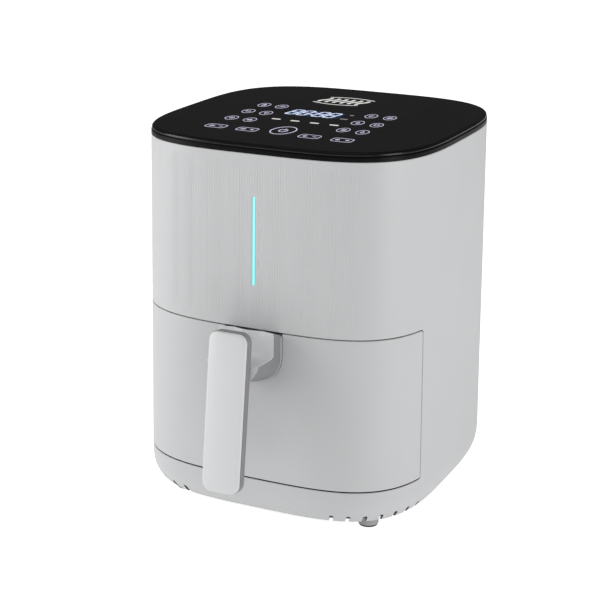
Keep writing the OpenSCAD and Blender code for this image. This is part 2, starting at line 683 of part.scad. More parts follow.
// Side view of the neck: distance in front of the housing centre, then height
neck_side = concat(
    [
        [front_back_y, neck_top], [face_y + neck_gap, neck_top], [face_y + shield_t, neck_top + lip_h],
        [face_y + shield_t, arm_top + arm_fillet]
    ],
    [for (a = [15:15:90]) [face_y + shield_t + arm_fillet * (1 - cos(a)), arm_top + arm_fillet * (1 - sin(a))]],
    [[grip_reach, arm_top]],
    [[face_y + shield_t + arm_run, neck_z0 + arm_rise], [face_y, neck_z0], [front_back_y, neck_z0]]);

// Shield on the drawer front and the arm that carries the grip, in one moulding
module handle_neck() color("#c6c8ca") at_body() difference() {
    intersection() {
        neck_profile(0);
        translate([-neck_w, 0, 0]) rotate([90, 0, 90]) linear_extrude(2 * neck_w)
            polygon([for (p = neck_side) [-p[0], p[1]]]);
        translate([0, 0, neck_z0 - through]) linear_extrude(neck_h + lip_h + 2 * through) polygon([
            [-neck_w / 2 - 1, -front_back_y], [-neck_w / 2 - 1, -face_y - shield_t],
            [-arm_end_w / 2, -grip_reach], [arm_end_w / 2, -grip_reach],
            [neck_w / 2 + 1, -face_y - shield_t], [neck_w / 2 + 1, -front_back_y]
        ]);
    }
    grip_frame() translate([-far, -far, -far]) cube([2 * far, far + cover_t + grip_t, grip_h + 2 * far]);
    front_holes(screw_r + 0.05);
    grip_frame() arm_spots() cylinder(h = far / 2, r = screw_r + 0.05, $fn = small_fn);
}

// Frame of the grip: x across, y from its front face towards the housing, z up along it
module grip_frame() translate([0, -grip_reach, grip_z0]) rotate([-grip_lean, 0, 0]) children();

module grip_slab(y, t, inset) translate([0, y + t, grip_h / 2]) rotate([90, 0, 0]) linear_extrude(t)
    polygon(round_box(grip_w - 2 * inset, grip_h - 2 * inset, grip_r - inset));

module arm_spots() for (x = [-9, 9]) translate([x, cover_t, (neck_z0 + arm_rise + arm_top) / 2 - grip_z0])
    rotate([-90, 0, 0]) children();

module handle_body() color("#b4b6b8") at_body() grip_frame() difference() {
    grip_slab(cover_t, grip_t, 0);
    arm_spots() {
        translate([0, 0, -through]) cylinder(h = 3, r = 3.3, $fn = small_fn);
        cylinder(h = far / 2, r = screw_r + 0.15, $fn = small_fn);
    }
}

module handle_cover() color("#e2e3e4") at_body() grip_frame() grip_slab(0, cover_t, 0.5);

module handle_screws() color("#55585c") at_body() grip_frame() arm_spots() screw(3, 2, screw_r, grip_t + 6);

// Plate that the food lies on, lifted off the pot's floor by its four bumpers
module crisper_plate() color("#35373a") at_body() difference() {
    slab(tray_w, tray_d, tray_r, tray_z, tray_t, pot_mid);
    translate([0, pot_mid, tray_z - through]) {
        for (i = [-slots_x:slots_x], j = [-2:2]) if (i != 0 || j != 0)
            translate([i * 12 - 2, j * slot_pitch - slot_l / 2, 0]) cube([4, slot_l, bore]);
        cylinder(h = bore, r = 9, $fn = round_fn);
    }
    for (sx = [-1, 1], sy = [-1, 1]) translate([sx * bumper_x, pot_mid + sy * bumper_y, tray_z - through])
        cylinder(h = bore, r = 2.5, $fn = small_fn);
}

module tray_bumpers() color("#8d4a3f") at_body() translate([0, pot_mid, 0]) four(bumper_x, bumper_y) {
    translate([0, 0, pot_z0 + pot_t]) cylinder(h = tray_lift, r = 5, $fn = small_fn);
    translate([0, 0, tray_z]) cylinder(h = tray_t, r = 2.5, $fn = small_fn);
    translate([0, 0, tray_z + tray_t]) cylinder(h = 2, r = 5, $fn = small_fn);
}

outer_shell();
bottom_cover();
feet();
base_screws();
chassis_ring();
top_trim_ring();
top_panel();
light_strip();
led_board();
board_tray();
control_board();
display_module();
touch_springs();
power_board();
chamber_liner();
slide_rails();
heat_reflector();
heating_element();
element_guard();
temperature_probe();
thermal_fuse();
motor_plate();
plate_standoffs();
fan_motor();
motor_bushes();
motor_screws();
air_duct();
rear_outlet_grille();
grille_screws();
inlet_bush();
drawer_switch();
fan_shaft();
hot_air_fan();
cooling_fan();
fan_nut();
drawer_front();
drawer_inner_front();
front_screws();
pot();
handle_neck();
handle_body();
handle_cover();
handle_screws();
crisper_plate();
tray_bumpers();
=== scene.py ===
"""Looks of a drawer air fryer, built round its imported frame.

Every length is in metres, in the frame's own axes: +Z up, the drawer opens towards -Y.
"""

import logging
import math
from collections.abc import Callable, Sequence
from dataclasses import dataclass, field
from enum import Enum

import bmesh
import bpy
import numpy as np
from mathutils import Matrix, Vector
from mathutils.geometry import delaunay_2d_cdt


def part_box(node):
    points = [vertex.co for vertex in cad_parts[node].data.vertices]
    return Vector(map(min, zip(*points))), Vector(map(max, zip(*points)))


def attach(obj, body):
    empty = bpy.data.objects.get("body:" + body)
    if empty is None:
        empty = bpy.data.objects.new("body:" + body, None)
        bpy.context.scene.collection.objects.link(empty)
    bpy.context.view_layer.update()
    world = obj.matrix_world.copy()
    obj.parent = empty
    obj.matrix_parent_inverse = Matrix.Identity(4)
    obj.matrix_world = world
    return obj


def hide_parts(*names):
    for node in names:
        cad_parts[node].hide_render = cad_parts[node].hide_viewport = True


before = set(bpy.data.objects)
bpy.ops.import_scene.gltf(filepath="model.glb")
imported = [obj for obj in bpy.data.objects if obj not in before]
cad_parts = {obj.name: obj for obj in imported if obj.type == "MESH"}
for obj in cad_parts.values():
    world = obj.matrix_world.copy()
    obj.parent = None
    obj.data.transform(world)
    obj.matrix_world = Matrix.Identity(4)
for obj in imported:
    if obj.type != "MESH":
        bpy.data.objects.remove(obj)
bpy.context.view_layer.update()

LOG = logging.getLogger("air_fryer")
MM = 0.001
PITCH = 2.4 * MM  # longest edge of a skin's border
MERGE = 1e-5  # how near two points are one when a face is filled, in millimetres

Point = tuple[float, float, float]
Face = tuple[int, ...]
Value = float | tuple[float, ...]
Points = Sequence[Sequence[float]]
Socket = bpy.types.NodeSocket
Node = bpy.types.Node
NodeTree = bpy.types.NodeTree
Piece = bpy.types.Object


class Body(str, Enum):
    """The moving bodies that a piece can ride on."""

    HOUSING = "housing"
    FAN = "fan"
    DRAWER = "drawer"
    TRAY = "tray"


class Axis(Enum):
    """Directions along which a finish can run."""

    X = (1.0, 0.0, 0.0)
    Y = (0.0, 1.0, 0.0)
    Z = (0.0, 0.0, 1.0)


# ---------------------------------------------------------------- shader tools


class Tree:
    """A node tree with short calls to add nodes and join them."""

    def __init__(self, tree: NodeTree) -> None:
        """Wraps a tree."""
        self.tree = tree

    def feed(self, socket: Socket, value: object) -> None:
        """Links an input socket to another socket, or sets it to a value.

        Args:
            socket: the input socket.
            value: an output socket or a value.
        """
        if isinstance(value, Socket):
            self.tree.links.new(value, socket)
        else:
            socket.default_value = value

    def node(self, kind: str, inputs: dict[str | int, object] | None = None, **settings: object) -> Node:
        """Adds a node.

        Args:
            kind: the node's type without its ShaderNode prefix.
            inputs: a value or an output socket for each named or numbered input.
            settings: attributes of the node.

        Returns:
            The new node.
        """
        made = self.tree.nodes.new("ShaderNode" + kind)
        for name, value in settings.items():
            setattr(made, name, value)
        for key, value in (inputs or {}).items():
            self.feed(made.inputs[key], value)
        return made

    def math(self, operation: str, *values: object, clamp: bool = False) -> Socket:
        """Adds a Math node."""
        made = self.node("Math", dict(enumerate(values)), operation=operation, use_clamp=clamp)
        return made.outputs[0]

    def mix(self, factor: object, low: object, high: object, blend: str = "MIX") -> Socket:
        """Adds a colour Mix node.

        Args:
            factor: the share of the second colour.
            low: the first colour.
            high: the second colour.
            blend: how the colours combine.

        Returns:
            The result socket.
        """
        made = self.tree.nodes.new("ShaderNodeMix")
        made.data_type = "RGBA"
        made.blend_type = blend
        for index, value in ((0, factor), (6, low), (7, high)):
            self.feed(made.inputs[index], value)
        return made.outputs[2]

    def shaded(self, colour: object, shade: object) -> Socket:
        """Multiplies a colour by a grey and returns the result socket."""
        return self.mix(1.0, colour, self.node("CombineColor", {0: shade, 1: shade, 2: shade}).outputs[0], "MULTIPLY")

    def span(self, value: object, low: float, high: float, to_low: float, to_high: float) -> Socket:
        """Maps a value from one range to another, smoothly."""
        inputs = {0: value, 1: low, 2: high, 3: to_low, 4: to_high}
        return self.node("MapRange", inputs, interpolation_type="SMOOTHSTEP").outputs[0]

    def noise(self, where: object, scale: float | object, detail: float = 3.0, rough: float = 0.55) -> Socket:
        """Adds a noise texture and returns its value socket."""
        inputs = {"Vector": where, "Scale": scale, "Detail": detail, "Roughness": rough}
        return self.node("TexNoise", inputs).outputs["Fac"]


GroupBuild = Callable[[Tree, Node], dict[str, Socket]]


def shader_group(
    name: str, inputs: dict[str, tuple[str, Value]], outputs: dict[str, str], build: GroupBuild
) -> NodeTree:
    """Makes a shader node group once.

    Args:
        name: the group's name.
        inputs: each input's socket type and default value.
        outputs: each output's socket type.
        build: adds the nodes and returns a socket for each output.

    Returns:
        The group's node tree.
    """
    found = bpy.data.node_groups.get(name)
    if found:
        return found
    tree = bpy.data.node_groups.new(name, "ShaderNodeTree")
    for title, (kind, default) in inputs.items():
        socket = tree.interface.new_socket(title, in_out="INPUT", socket_type="NodeSocket" + kind)
        socket.default_value = default
    for title, kind in outputs.items():
        tree.interface.new_socket(title, in_out="OUTPUT", socket_type="NodeSocket" + kind)
    given = tree.nodes.new("NodeGroupInput")
    taken = tree.nodes.new("NodeGroupOutput")
    for title, socket in build(Tree(tree), given).items():
        tree.links.new(socket, taken.inputs[title])
    return tree


def object_place(t: Tree) -> Socket:
    """The object coordinate, which is the place in the frame."""
    return t.node("TexCoord").outputs["Object"]


def moulded_grain() -> NodeTree:
    """Moulded surface: fine spark grain with slow drifts of tone and gloss.

    Returns:
        A group that gives a colour, a roughness and a height.
    """

    def build(t: Tree, given: Node) -> dict[str, Socket]:
        """Adds the group's nodes.

        Args:
            t: the group's tree.
            given: its input node.

        Returns:
            A socket for each output.
        """
        place = object_place(t)
        fine = t.noise(place, given.outputs["Grain"], 2.0, 0.6)
        slow = t.noise(place, 14.0, 3.0, 0.5)
        tone = t.math("MULTIPLY", t.math("SUBTRACT", slow, 0.5), given.outputs["Tone spread"])
        shade = t.math("ADD", 1.0, t.math("ADD", tone, t.math("MULTIPLY", t.math("SUBTRACT", fine, 0.5), 0.03)))
        colour = t.shaded(given.outputs["Colour"], shade)
        gloss = t.math("MULTIPLY", t.math("SUBTRACT", t.noise(place, 55.0, 4.0, 0.6), 0.5),
                       given.outputs["Gloss spread"])
        rough = t.math("ADD", given.outputs["Roughness"], gloss, clamp=True)
        return {"Colour": colour, "Roughness": rough, "Height": fine}

    inputs = {
        "Colour": ("Color", (0.6, 0.6, 0.6, 1.0)),
        "Grain": ("Float", 2600.0),
        "Tone spread": ("Float", 0.04),
        "Roughness": ("Float", 0.4),
        "Gloss spread": ("Float", 0.12),
    }
    return shader_group("moulded_grain", inputs, {"Colour": "Color", "Roughness": "Float", "Height": "Float"}, build)


def edge_wear() -> NodeTree:
    """Mask of the raised edges where handling has rubbed the surface, broken up by noise.

    Returns:
        A group that gives a mask.
    """

    def build(t: Tree, given: Node) -> dict[str, Socket]:
        """Adds the group's nodes.

        Args:
            t: the group's tree.
            given: its input node.

        Returns:
            A socket for each output.
        """
        bend = t.node("NewGeometry").outputs["Pointiness"]
        edge = t.node("MapRange", {0: bend, 1: given.outputs["From"], 2: given.outputs["To"], 3: 0.0,
                                   4: 1.0}).outputs[0]
        broken = t.span(t.noise(object_place(t), given.outputs["Breakup"], 5.0, 0.65), 0.4, 0.62, 0.0, 1.0)
        return {"Mask": t.math("MULTIPLY", edge, broken, clamp=True)}

    inputs = {"From": ("Float", 0.52), "To": ("Float", 0.62), "Breakup": ("Float", 160.0)}
    return shader_group("edge_wear", inputs, {"Mask": "Float"}, build)


def handling_marks() -> NodeTree:
    """Faint smears and dust that hands and cloths leave on a smooth surface.

    Returns:
        A group that gives a smear mask and a dust mask.
    """

    def build(t: Tree, given: Node) -> dict[str, Socket]:
        """Adds the group's nodes.

        Args:
            t: the group's tree.
            given: its input node.

        Returns:
            A socket for each output.
        """
        place = object_place(t)
        stretched = t.node("Mapping", {"Vector": place, "Scale": (1.0, 0.35, 1.0),
                                       "Rotation": (0.0, 0.0, 0.5)}).outputs[0]
        smear = t.span(t.noise(stretched, given.outputs["Smear size"], 6.0, 0.62), 0.45, 0.75, 0.0, 1.0)
        cell = t.node("TexVoronoi", {"Vector": place, "Scale": given.outputs["Dust size"]}).outputs["Distance"]
        dust = t.span(cell, 0.02, 0.09, 1.0, 0.0)
        rare = t.span(t.noise(place, 90.0, 2.0, 0.5), 0.56, 0.66, 0.0, 1.0)
        return {"Smear": smear, "Dust": t.math("MULTIPLY", dust, rare)}

    inputs = {"Smear size": ("Float", 22.0), "Dust size": ("Float", 700.0)}
    return shader_group("handling_marks", inputs, {"Smear": "Float", "Dust": "Float"}, build)


def rolled_streaks() -> NodeTree:
    """Rolled or brushed metal: long streaks along one direction.

    Returns:
        A group that gives a colour, a roughness and a height.
    """

    def build(t: Tree, given: Node) -> dict[str, Socket]:
        """Adds the group's nodes.

        Args:
            t: the group's tree.
            given: its input node.

        Returns:
            A socket for each output.
        """
        place = t.node("VectorMath", {0: object_place(t), 1: given.outputs["Stretch"]}, operation="MULTIPLY").outputs[0]
        streak = t.noise(place, given.outputs["Scale"], 5.0, 0.7)
        cloud = t.noise(object_place(t), 9.0, 4.0, 0.6)
        shade = t.math("ADD", 0.82, t.math("ADD", t.math("MULTIPLY", streak, 0.22), t.math("MULTIPLY", cloud, 0.14)))
        colour = t.shaded(given.outputs["Colour"], shade)
        rough = t.math("ADD", given.outputs["Roughness"], t.math("MULTIPLY", t.math("SUBTRACT", streak, 0.5),
                                                                 0.3), clamp=True)
        return {"Colour": colour, "Roughness": rough, "Height": streak}

    inputs = {
        "Colour": ("Color", (0.6, 0.6, 0.6, 1.0)),
        "Stretch": ("Vector", (1.0, 0.03, 1.0)),
        "Scale": ("Float", 900.0),
        "Roughness": ("Float", 0.35),
    }
    return shader_group("rolled_streaks", inputs, {"Colour": "Color", "Roughness": "Float", "Height": "Float"}, build)


def fine_speckle() -> NodeTree:
    """Fine speckle of a cast, coated or rubber surface.

    Returns:
        A group that gives a mask and a height.
    """

    def build(t: Tree, given: Node) -> dict[str, Socket]:
        """Adds the group's nodes.

        Args:
            t: the group's tree.
            given: its input node.

        Returns:
            A socket for each output.
        """
        place = object_place(t)
        cell = t.node("TexVoronoi", {"Vector": place, "Scale": given.outputs["Scale"]}).outputs["Distance"]
        speck = t.span(cell, 0.12, 0.34, 1.0, 0.0)
        kept = t.span(t.noise(place, given.outputs["Scale"], 1.0, 0.5), 0.52, 0.6, 0.0, 1.0)
        return {"Mask": t.math("MULTIPLY", speck, kept), "Height": cell}

    return shader_group("fine_speckle", {"Scale": ("Float", 1400.0)}, {"Mask": "Float", "Height": "Float"}, build)


# ---------------------------------------------------------------- finishes


@dataclass(frozen=True)
class Finish:
    """What every finish has: a name, the record's slot and a way to make its material once."""

    name: str
    slot: str

    def material(self) -> bpy.types.Material:
        """The Blender material of this finish, made on first use.

        Returns:
            The material.
        """
        found = bpy.data.materials.get(self.name)
        if found:
            return found
        made = bpy.data.materials.new(self.name)
        made.use_nodes = True
        made.node_tree.nodes.clear()
        tree = Tree(made.node_tree)
        shader = tree.node("BsdfPrincipled")
        output = tree.node("OutputMaterial")
        made.node_tree.links.new(shader.outputs[0], output.inputs[0])
        self.dress(tree, shader)
        return made

    def dress(self, t: Tree, shader: Node) -> None:
        """Adds this finish's own nodes."""
        raise NotImplementedError

    def join(self, t: Tree, shader: Node, links: dict[str, object]) -> None:
        """Sets or links inputs of the shader."""
        for key, value in links.items():
            t.feed(shader.inputs[key], value)

    def bump(self, t: Tree, height: object, strength: float, distance: float) -> Socket:
        """Adds a Bump node."""
        inputs = {"Height": height, "Strength": strength, "Distance": distance}
        return t.node("Bump", inputs).outputs[0]


@dataclass(frozen=True)
class Moulding(Finish):
    """Injection moulded plastic with a fine spark grain."""

    colour: Point = (0.6, 0.6, 0.6)
    rough: float = 0.42
    tone_spread: float = 0.05
    gloss_spread: float = 0.10
    grain: float = 2600.0
    grain_depth: float = 0.00002
    coat: float = 0.0
    specular: float = 0.5
    worn: Point = (0.8, 0.8, 0.8)
    wear: float = 0.25
    dust: float = 0.15
    smear: float = 0.05

    def dress(self, t: Tree, shader: Node) -> None:
        """Adds grain, tone drift, rubbed edges, smears and a little dust.

        Args:
            t: the material's tree.
            shader: its Principled BSDF.
        """
        grain = t.node("Group", node_tree=moulded_grain())
        for key, value in {
            "Colour": (*self.colour, 1.0),
            "Grain": self.grain,
            "Tone spread": self.tone_spread,
            "Roughness": self.rough,
            "Gloss spread": self.gloss_spread,
        }.items():
            grain.inputs[key].default_value = value
        worn = t.node("Group", node_tree=edge_wear())
        marks = t.node("Group", node_tree=handling_marks())
        rubbed = t.math("MULTIPLY", worn.outputs["Mask"], self.wear)
        colour = t.mix(rubbed, grain.outputs["Colour"], (*self.worn, 1.0))
        colour = t.mix(t.math("MULTIPLY", marks.outputs["Dust"], self.dust), colour, (0.75, 0.74, 0.72, 1.0))
        rough = t.math("SUBTRACT", grain.outputs["Roughness"], t.math("MULTIPLY", rubbed, 0.12))
        rough = t.math("ADD", rough, t.math("MULTIPLY", marks.outputs["Smear"], self.smear), clamp=True)
        self.join(t, shader, {
            "Base Color": colour,
            "Roughness": rough,
            "Specular IOR Level": self.specular,
            "Coat Weight": self.coat,
            "Coat Roughness": 0.08,
            "Normal": self.bump(t, grain.outputs["Height"], 0.35, self.grain_depth),
        })


@dataclass(frozen=True)
class Metal(Finish):
    """Rolled, brushed or ground metal."""

    colour: Point = (0.6, 0.6, 0.6)
    rough: float = 0.32
    along: Axis = Axis.Y
    scale: float = 700.0
    tint: Point = (0.35, 0.27, 0.18)
    tint_amount: float = 0.0
    depth: float = 0.00001

    def dress(self, t: Tree, shader: Node) -> None:
        """Adds streaks, rubbed edges, smears and a heat tint.

        Args:
            t: the material's tree.
            shader: its Principled BSDF.
        """
        streaks = t.node("Group", node_tree=rolled_streaks())
        streaks.inputs["Colour"].default_value = (*self.colour, 1.0)
        streaks.inputs["Stretch"].default_value = tuple(0.04 if a else 1.0 for a in self.along.value)
        streaks.inputs["Scale"].default_value = self.scale
        streaks.inputs["Roughness"].default_value = self.rough
        worn = t.node("Group", node_tree=edge_wear())
        marks = t.node("Group", node_tree=handling_marks())
        cloud = t.span(t.noise(object_place(t), 24.0, 4.0, 0.6), 0.42, 0.66, 0.0, self.tint_amount)
        colour = t.mix(cloud, streaks.outputs["Colour"], (*self.tint, 1.0))
        colour = t.mix(t.math("MULTIPLY", worn.outputs["Mask"], 0.35), colour, (0.85, 0.85, 0.85, 1.0))
        rough = t.math("ADD", streaks.outputs["Roughness"], t.math("MULTIPLY", marks.outputs["Smear"], 0.10),
                       clamp=True)
        self.join(t, shader, {
            "Base Color": colour,
            "Metallic": 1.0,
            "Roughness": rough,
            "Normal": self.bump(t, streaks.outputs["Height"], 0.3, self.depth),
        })


@dataclass(frozen=True)
class Coated(Finish):
    """Speckled coating or rubber on a cast or moulded piece."""

    colour: Point = (0.03, 0.03, 0.032)
    speck: Point = (0.16, 0.16, 0.165)
    rough: float = 0.38
    scale: float = 1500.0
    speck_amount: float = 0.5
    depth: float = 0.00003
    wear: float = 0.15
    worn: Point = (0.25, 0.25, 0.26)

    def dress(self, t: Tree, shader: Node) -> None:
        """Adds specks, a pebbled height, rubbed edges and smears.

        Args:
            t: the material's tree.
            shader: its Principled BSDF.
        """
        speckle = t.node("Group", node_tree=fine_speckle())
        speckle.inputs["Scale"].default_value = self.scale
        worn = t.node("Group", node_tree=edge_wear())
        marks = t.node("Group", node_tree=handling_marks())
        slow = t.noise(object_place(t), 18.0, 4.0, 0.6)
        base = t.mix(slow, (*[c * 0.85 for c in self.colour], 1.0), (*[c * 1.2 for c in self.colour], 1.0))
        colour = t.mix(t.math("MULTIPLY", speckle.outputs["Mask"], self.speck_amount), base, (*self.speck, 1.0))
        colour = t.mix(t.math("MULTIPLY", worn.outputs["Mask"], self.wear), colour, (*self.worn, 1.0))
        rough = t.math("ADD", self.rough, t.math("MULTIPLY", marks.outputs["Smear"], 0.14))
        rough = t.math("ADD", rough, t.math("MULTIPLY", t.math("SUBTRACT", slow, 0.5), 0.1), clamp=True)
        self.join(t, shader, {
            "Base Color": colour,
            "Roughness": rough,
            "Normal": self.bump(t, speckle.outputs["Height"], 0.4, self.depth),
        })


@dataclass(frozen=True)
class Glow(Finish):
    """Lit print, digits or diffuser, brighter along its middle."""

    colour: Point = (1.0, 1.0, 1.0)
    edge: Point = (0.6, 0.6, 0.6)
    strength: float = 1.0
    half_width: float = 0.0
    unevenness: float = 0.12
    middle_x: float = 0.0

    def dress(self, t: Tree, shader: Node) -> None:
        """Adds the light, its falloff towards the sides and its unevenness.

        Args:
            t: the material's tree.
            shader: its Principled BSDF.
        """
        place = object_place(t)
        uneven = t.noise(place, 240.0, 3.0, 0.55)
        if self.half_width:
            across = t.node("SeparateXYZ", {0: place}).outputs["X"]
            off = t.math("ABSOLUTE", t.math("SUBTRACT", across, self.middle_x))
            side = t.span(off, self.half_width * 0.35, self.half_width, 0.0, 1.0)
        else:
            side = t.span(uneven, 0.35, 0.75, 0.0, self.unevenness)
        colour = t.mix(side, (*self.colour, 1.0), (*self.edge, 1.0))
        dim = t.math("ADD", 1.0 - self.unevenness, t.math("MULTIPLY", uneven, self.unevenness))
        lit = t.shaded(colour, dim)
        self.join(t, shader, {
            "Base Color": t.mix(0.5, lit, (0.02, 0.02, 0.02, 1.0)),
            "Emission Color": lit,
            "Emission Strength": self.strength,
            "Roughness": t.span(uneven, 0.3, 0.7, 0.3, 0.45),
            "Normal": self.bump(t, uneven, 0.1, 0.00001),
        })


# A dark copy of the housing plastic: painted shade on the neck's side walls and underside.
NECK_PAINTED_SHADE = Moulding("neck_painted_shade", "grip_back_plastic", colour=(0.25, 0.253, 0.257), rough=0.5)
HOUSING_GREY = Moulding("housing_grey", "housing_plastic", colour=(0.60, 0.605, 0.61), rough=0.40)
# A lightened copy of the housing plastic: painted light on the neck's faces, which the grip shades.
NECK_GREY_PAINTED_LIGHT = Moulding("neck_grey_painted_light", "housing_plastic", colour=(0.72, 0.725, 0.73), rough=0.42)
COVER_GLOSS = Moulding(
    "cover_gloss", "handle_plastic", colour=(0.74, 0.745, 0.75), rough=0.30, coat=0.2, grain_depth=0.000006,
    tone_spread=0.02, gloss_spread=0.02, smear=0.01, dust=0.06,
)
GRIP_BACK = Moulding("grip_back", "grip_back_plastic", colour=(0.24, 0.243, 0.247), rough=0.45)
INNER_GREY = Moulding("inner_grey", "grip_back_plastic", colour=(0.33, 0.335, 0.34), rough=0.5, tone_spread=0.1)
PANEL_BLACK = Moulding(
    "panel_black", "black_gloss", colour=(0.005, 0.005, 0.0055), rough=0.24, tone_spread=0.2, gloss_spread=0.06,
    grain_depth=0.000003, specular=0.42, worn=(0.05, 0.05, 0.05), wear=0.3, dust=0.10,
)
RING_BLACK = Moulding(
    "ring_black", "black_gloss", colour=(0.004, 0.004, 0.0045), rough=0.36, tone_spread=0.2, gloss_spread=0.06,
    grain_depth=0.000004, specular=0.1, worn=(0.05, 0.05, 0.05), wear=0.3, dust=0.1,
)
# Dark plastic for the inner parts; on the housing wall's inner faces the same dark is painted shade in the seam gaps
# and air notches.
DARK_PLASTIC_AND_SHADE = Moulding(
    "dark_plastic_and_shade", "dark_plastic", colour=(0.02, 0.02, 0.022), rough=0.5, tone_spread=0.3,
    worn=(0.09, 0.09, 0.09), wear=0.5, dust=0.3,
)
PAD_RUBBER = Coated(
    "pad_rubber", "foot_rubber", colour=(0.03, 0.03, 0.032), speck=(0.06, 0.06, 0.06), rough=0.75,
    scale=2600.0, speck_amount=0.35, worn=(0.12, 0.12, 0.12),
)
FOOT_RUBBER = Coated(
    "foot_rubber", "foot_rubber", colour=(0.58, 0.585, 0.59), speck=(0.48, 0.48, 0.485), rough=0.6,
    scale=2600.0, speck_amount=0.35, worn=(0.5, 0.5, 0.5),
)
BOARD_GREEN = Coated(
    "board_green", "circuit_board", colour=(0.01, 0.09, 0.04), speck=(0.5, 0.42, 0.2), rough=0.35,
    scale=420.0, speck_amount=0.8,
)
DISPLAY_DARK = Coated("display_dark", "display_glass", colour=(0.01, 0.012, 0.02), speck=(0.03, 0.04, 0.07), rough=0.18)
SHEET_STEEL = Metal("sheet_steel", "sheet_steel", colour=(0.62, 0.62, 0.63), rough=0.34, tint_amount=0.12)
COIL_STEEL = Metal(
    "coil_steel", "dark_steel", colour=(0.15, 0.13, 0.12), rough=0.46, tint=(0.22, 0.12, 0.07), tint_amount=0.7
)
GROUND_STEEL = Metal("ground_steel", "bright_steel", colour=(0.72, 0.73, 0.74), rough=0.2, along=Axis.X)
SPRING_BRASS = Metal("spring_brass", "spring_brass", colour=(0.66, 0.5, 0.2), rough=0.28, along=Axis.Z)
BRONZE = Metal("bearing_bronze", "bearing_bronze", colour=(0.42, 0.27, 0.12), rough=0.42, along=Axis.Z)
MOTOR_PAINT = Coated(
    "motor_paint", "motor_paint", colour=(0.16, 0.165, 0.17), speck=(0.24, 0.24, 0.25), rough=0.42, scale=1900.0
)
NON_STICK = Coated("non_stick", "nonstick_coating", rough=0.36, worn=(0.2, 0.2, 0.2), wear=0.25)
SILICONE = Coated(
    "bumper_silicone", "bumper_silicone", colour=(0.28, 0.045, 0.03), speck=(0.33, 0.06,
                                                                             0.045), rough=0.55, scale=2200.0
)
PHENOLIC = Moulding("phenolic", "phenolic", colour=(0.5, 0.45, 0.34), rough=0.5, tone_spread=0.12)
STRIP_LIGHT = Glow(
    "strip_light", "strip_diffuser", colour=(0.33, 0.90, 0.90), edge=(0.10, 0.48,
                                                                      0.50), strength=0.85, half_width=0.0015
)
DIGIT_LIGHT = Glow("digit_light", "display_glass", colour=(0.72, 0.82, 1.0), edge=(0.45, 0.58, 0.95), strength=1.0)
GLASS_GLOW = Glow("glass_glow", "display_glass", colour=(0.018, 0.03, 0.10), edge=(0.01, 0.015, 0.05), strength=0.7)
KEY_PRINT = Glow("key_print", "display_glass", colour=(0.62, 0.60, 0.76), edge=(0.5, 0.5, 0.66), strength=0.95)
WHITE_PRINT = Glow("white_print", "display_glass", colour=(0.75, 0.75, 0.72), edge=(0.6, 0.6, 0.55), strength=0.85)
DIM_PRINT = Glow("dim_print", "display_glass", colour=(0.34, 0.34, 0.34), edge=(0.2, 0.2, 0.2), strength=0.7)


# ---------------------------------------------------------------- mesh tools


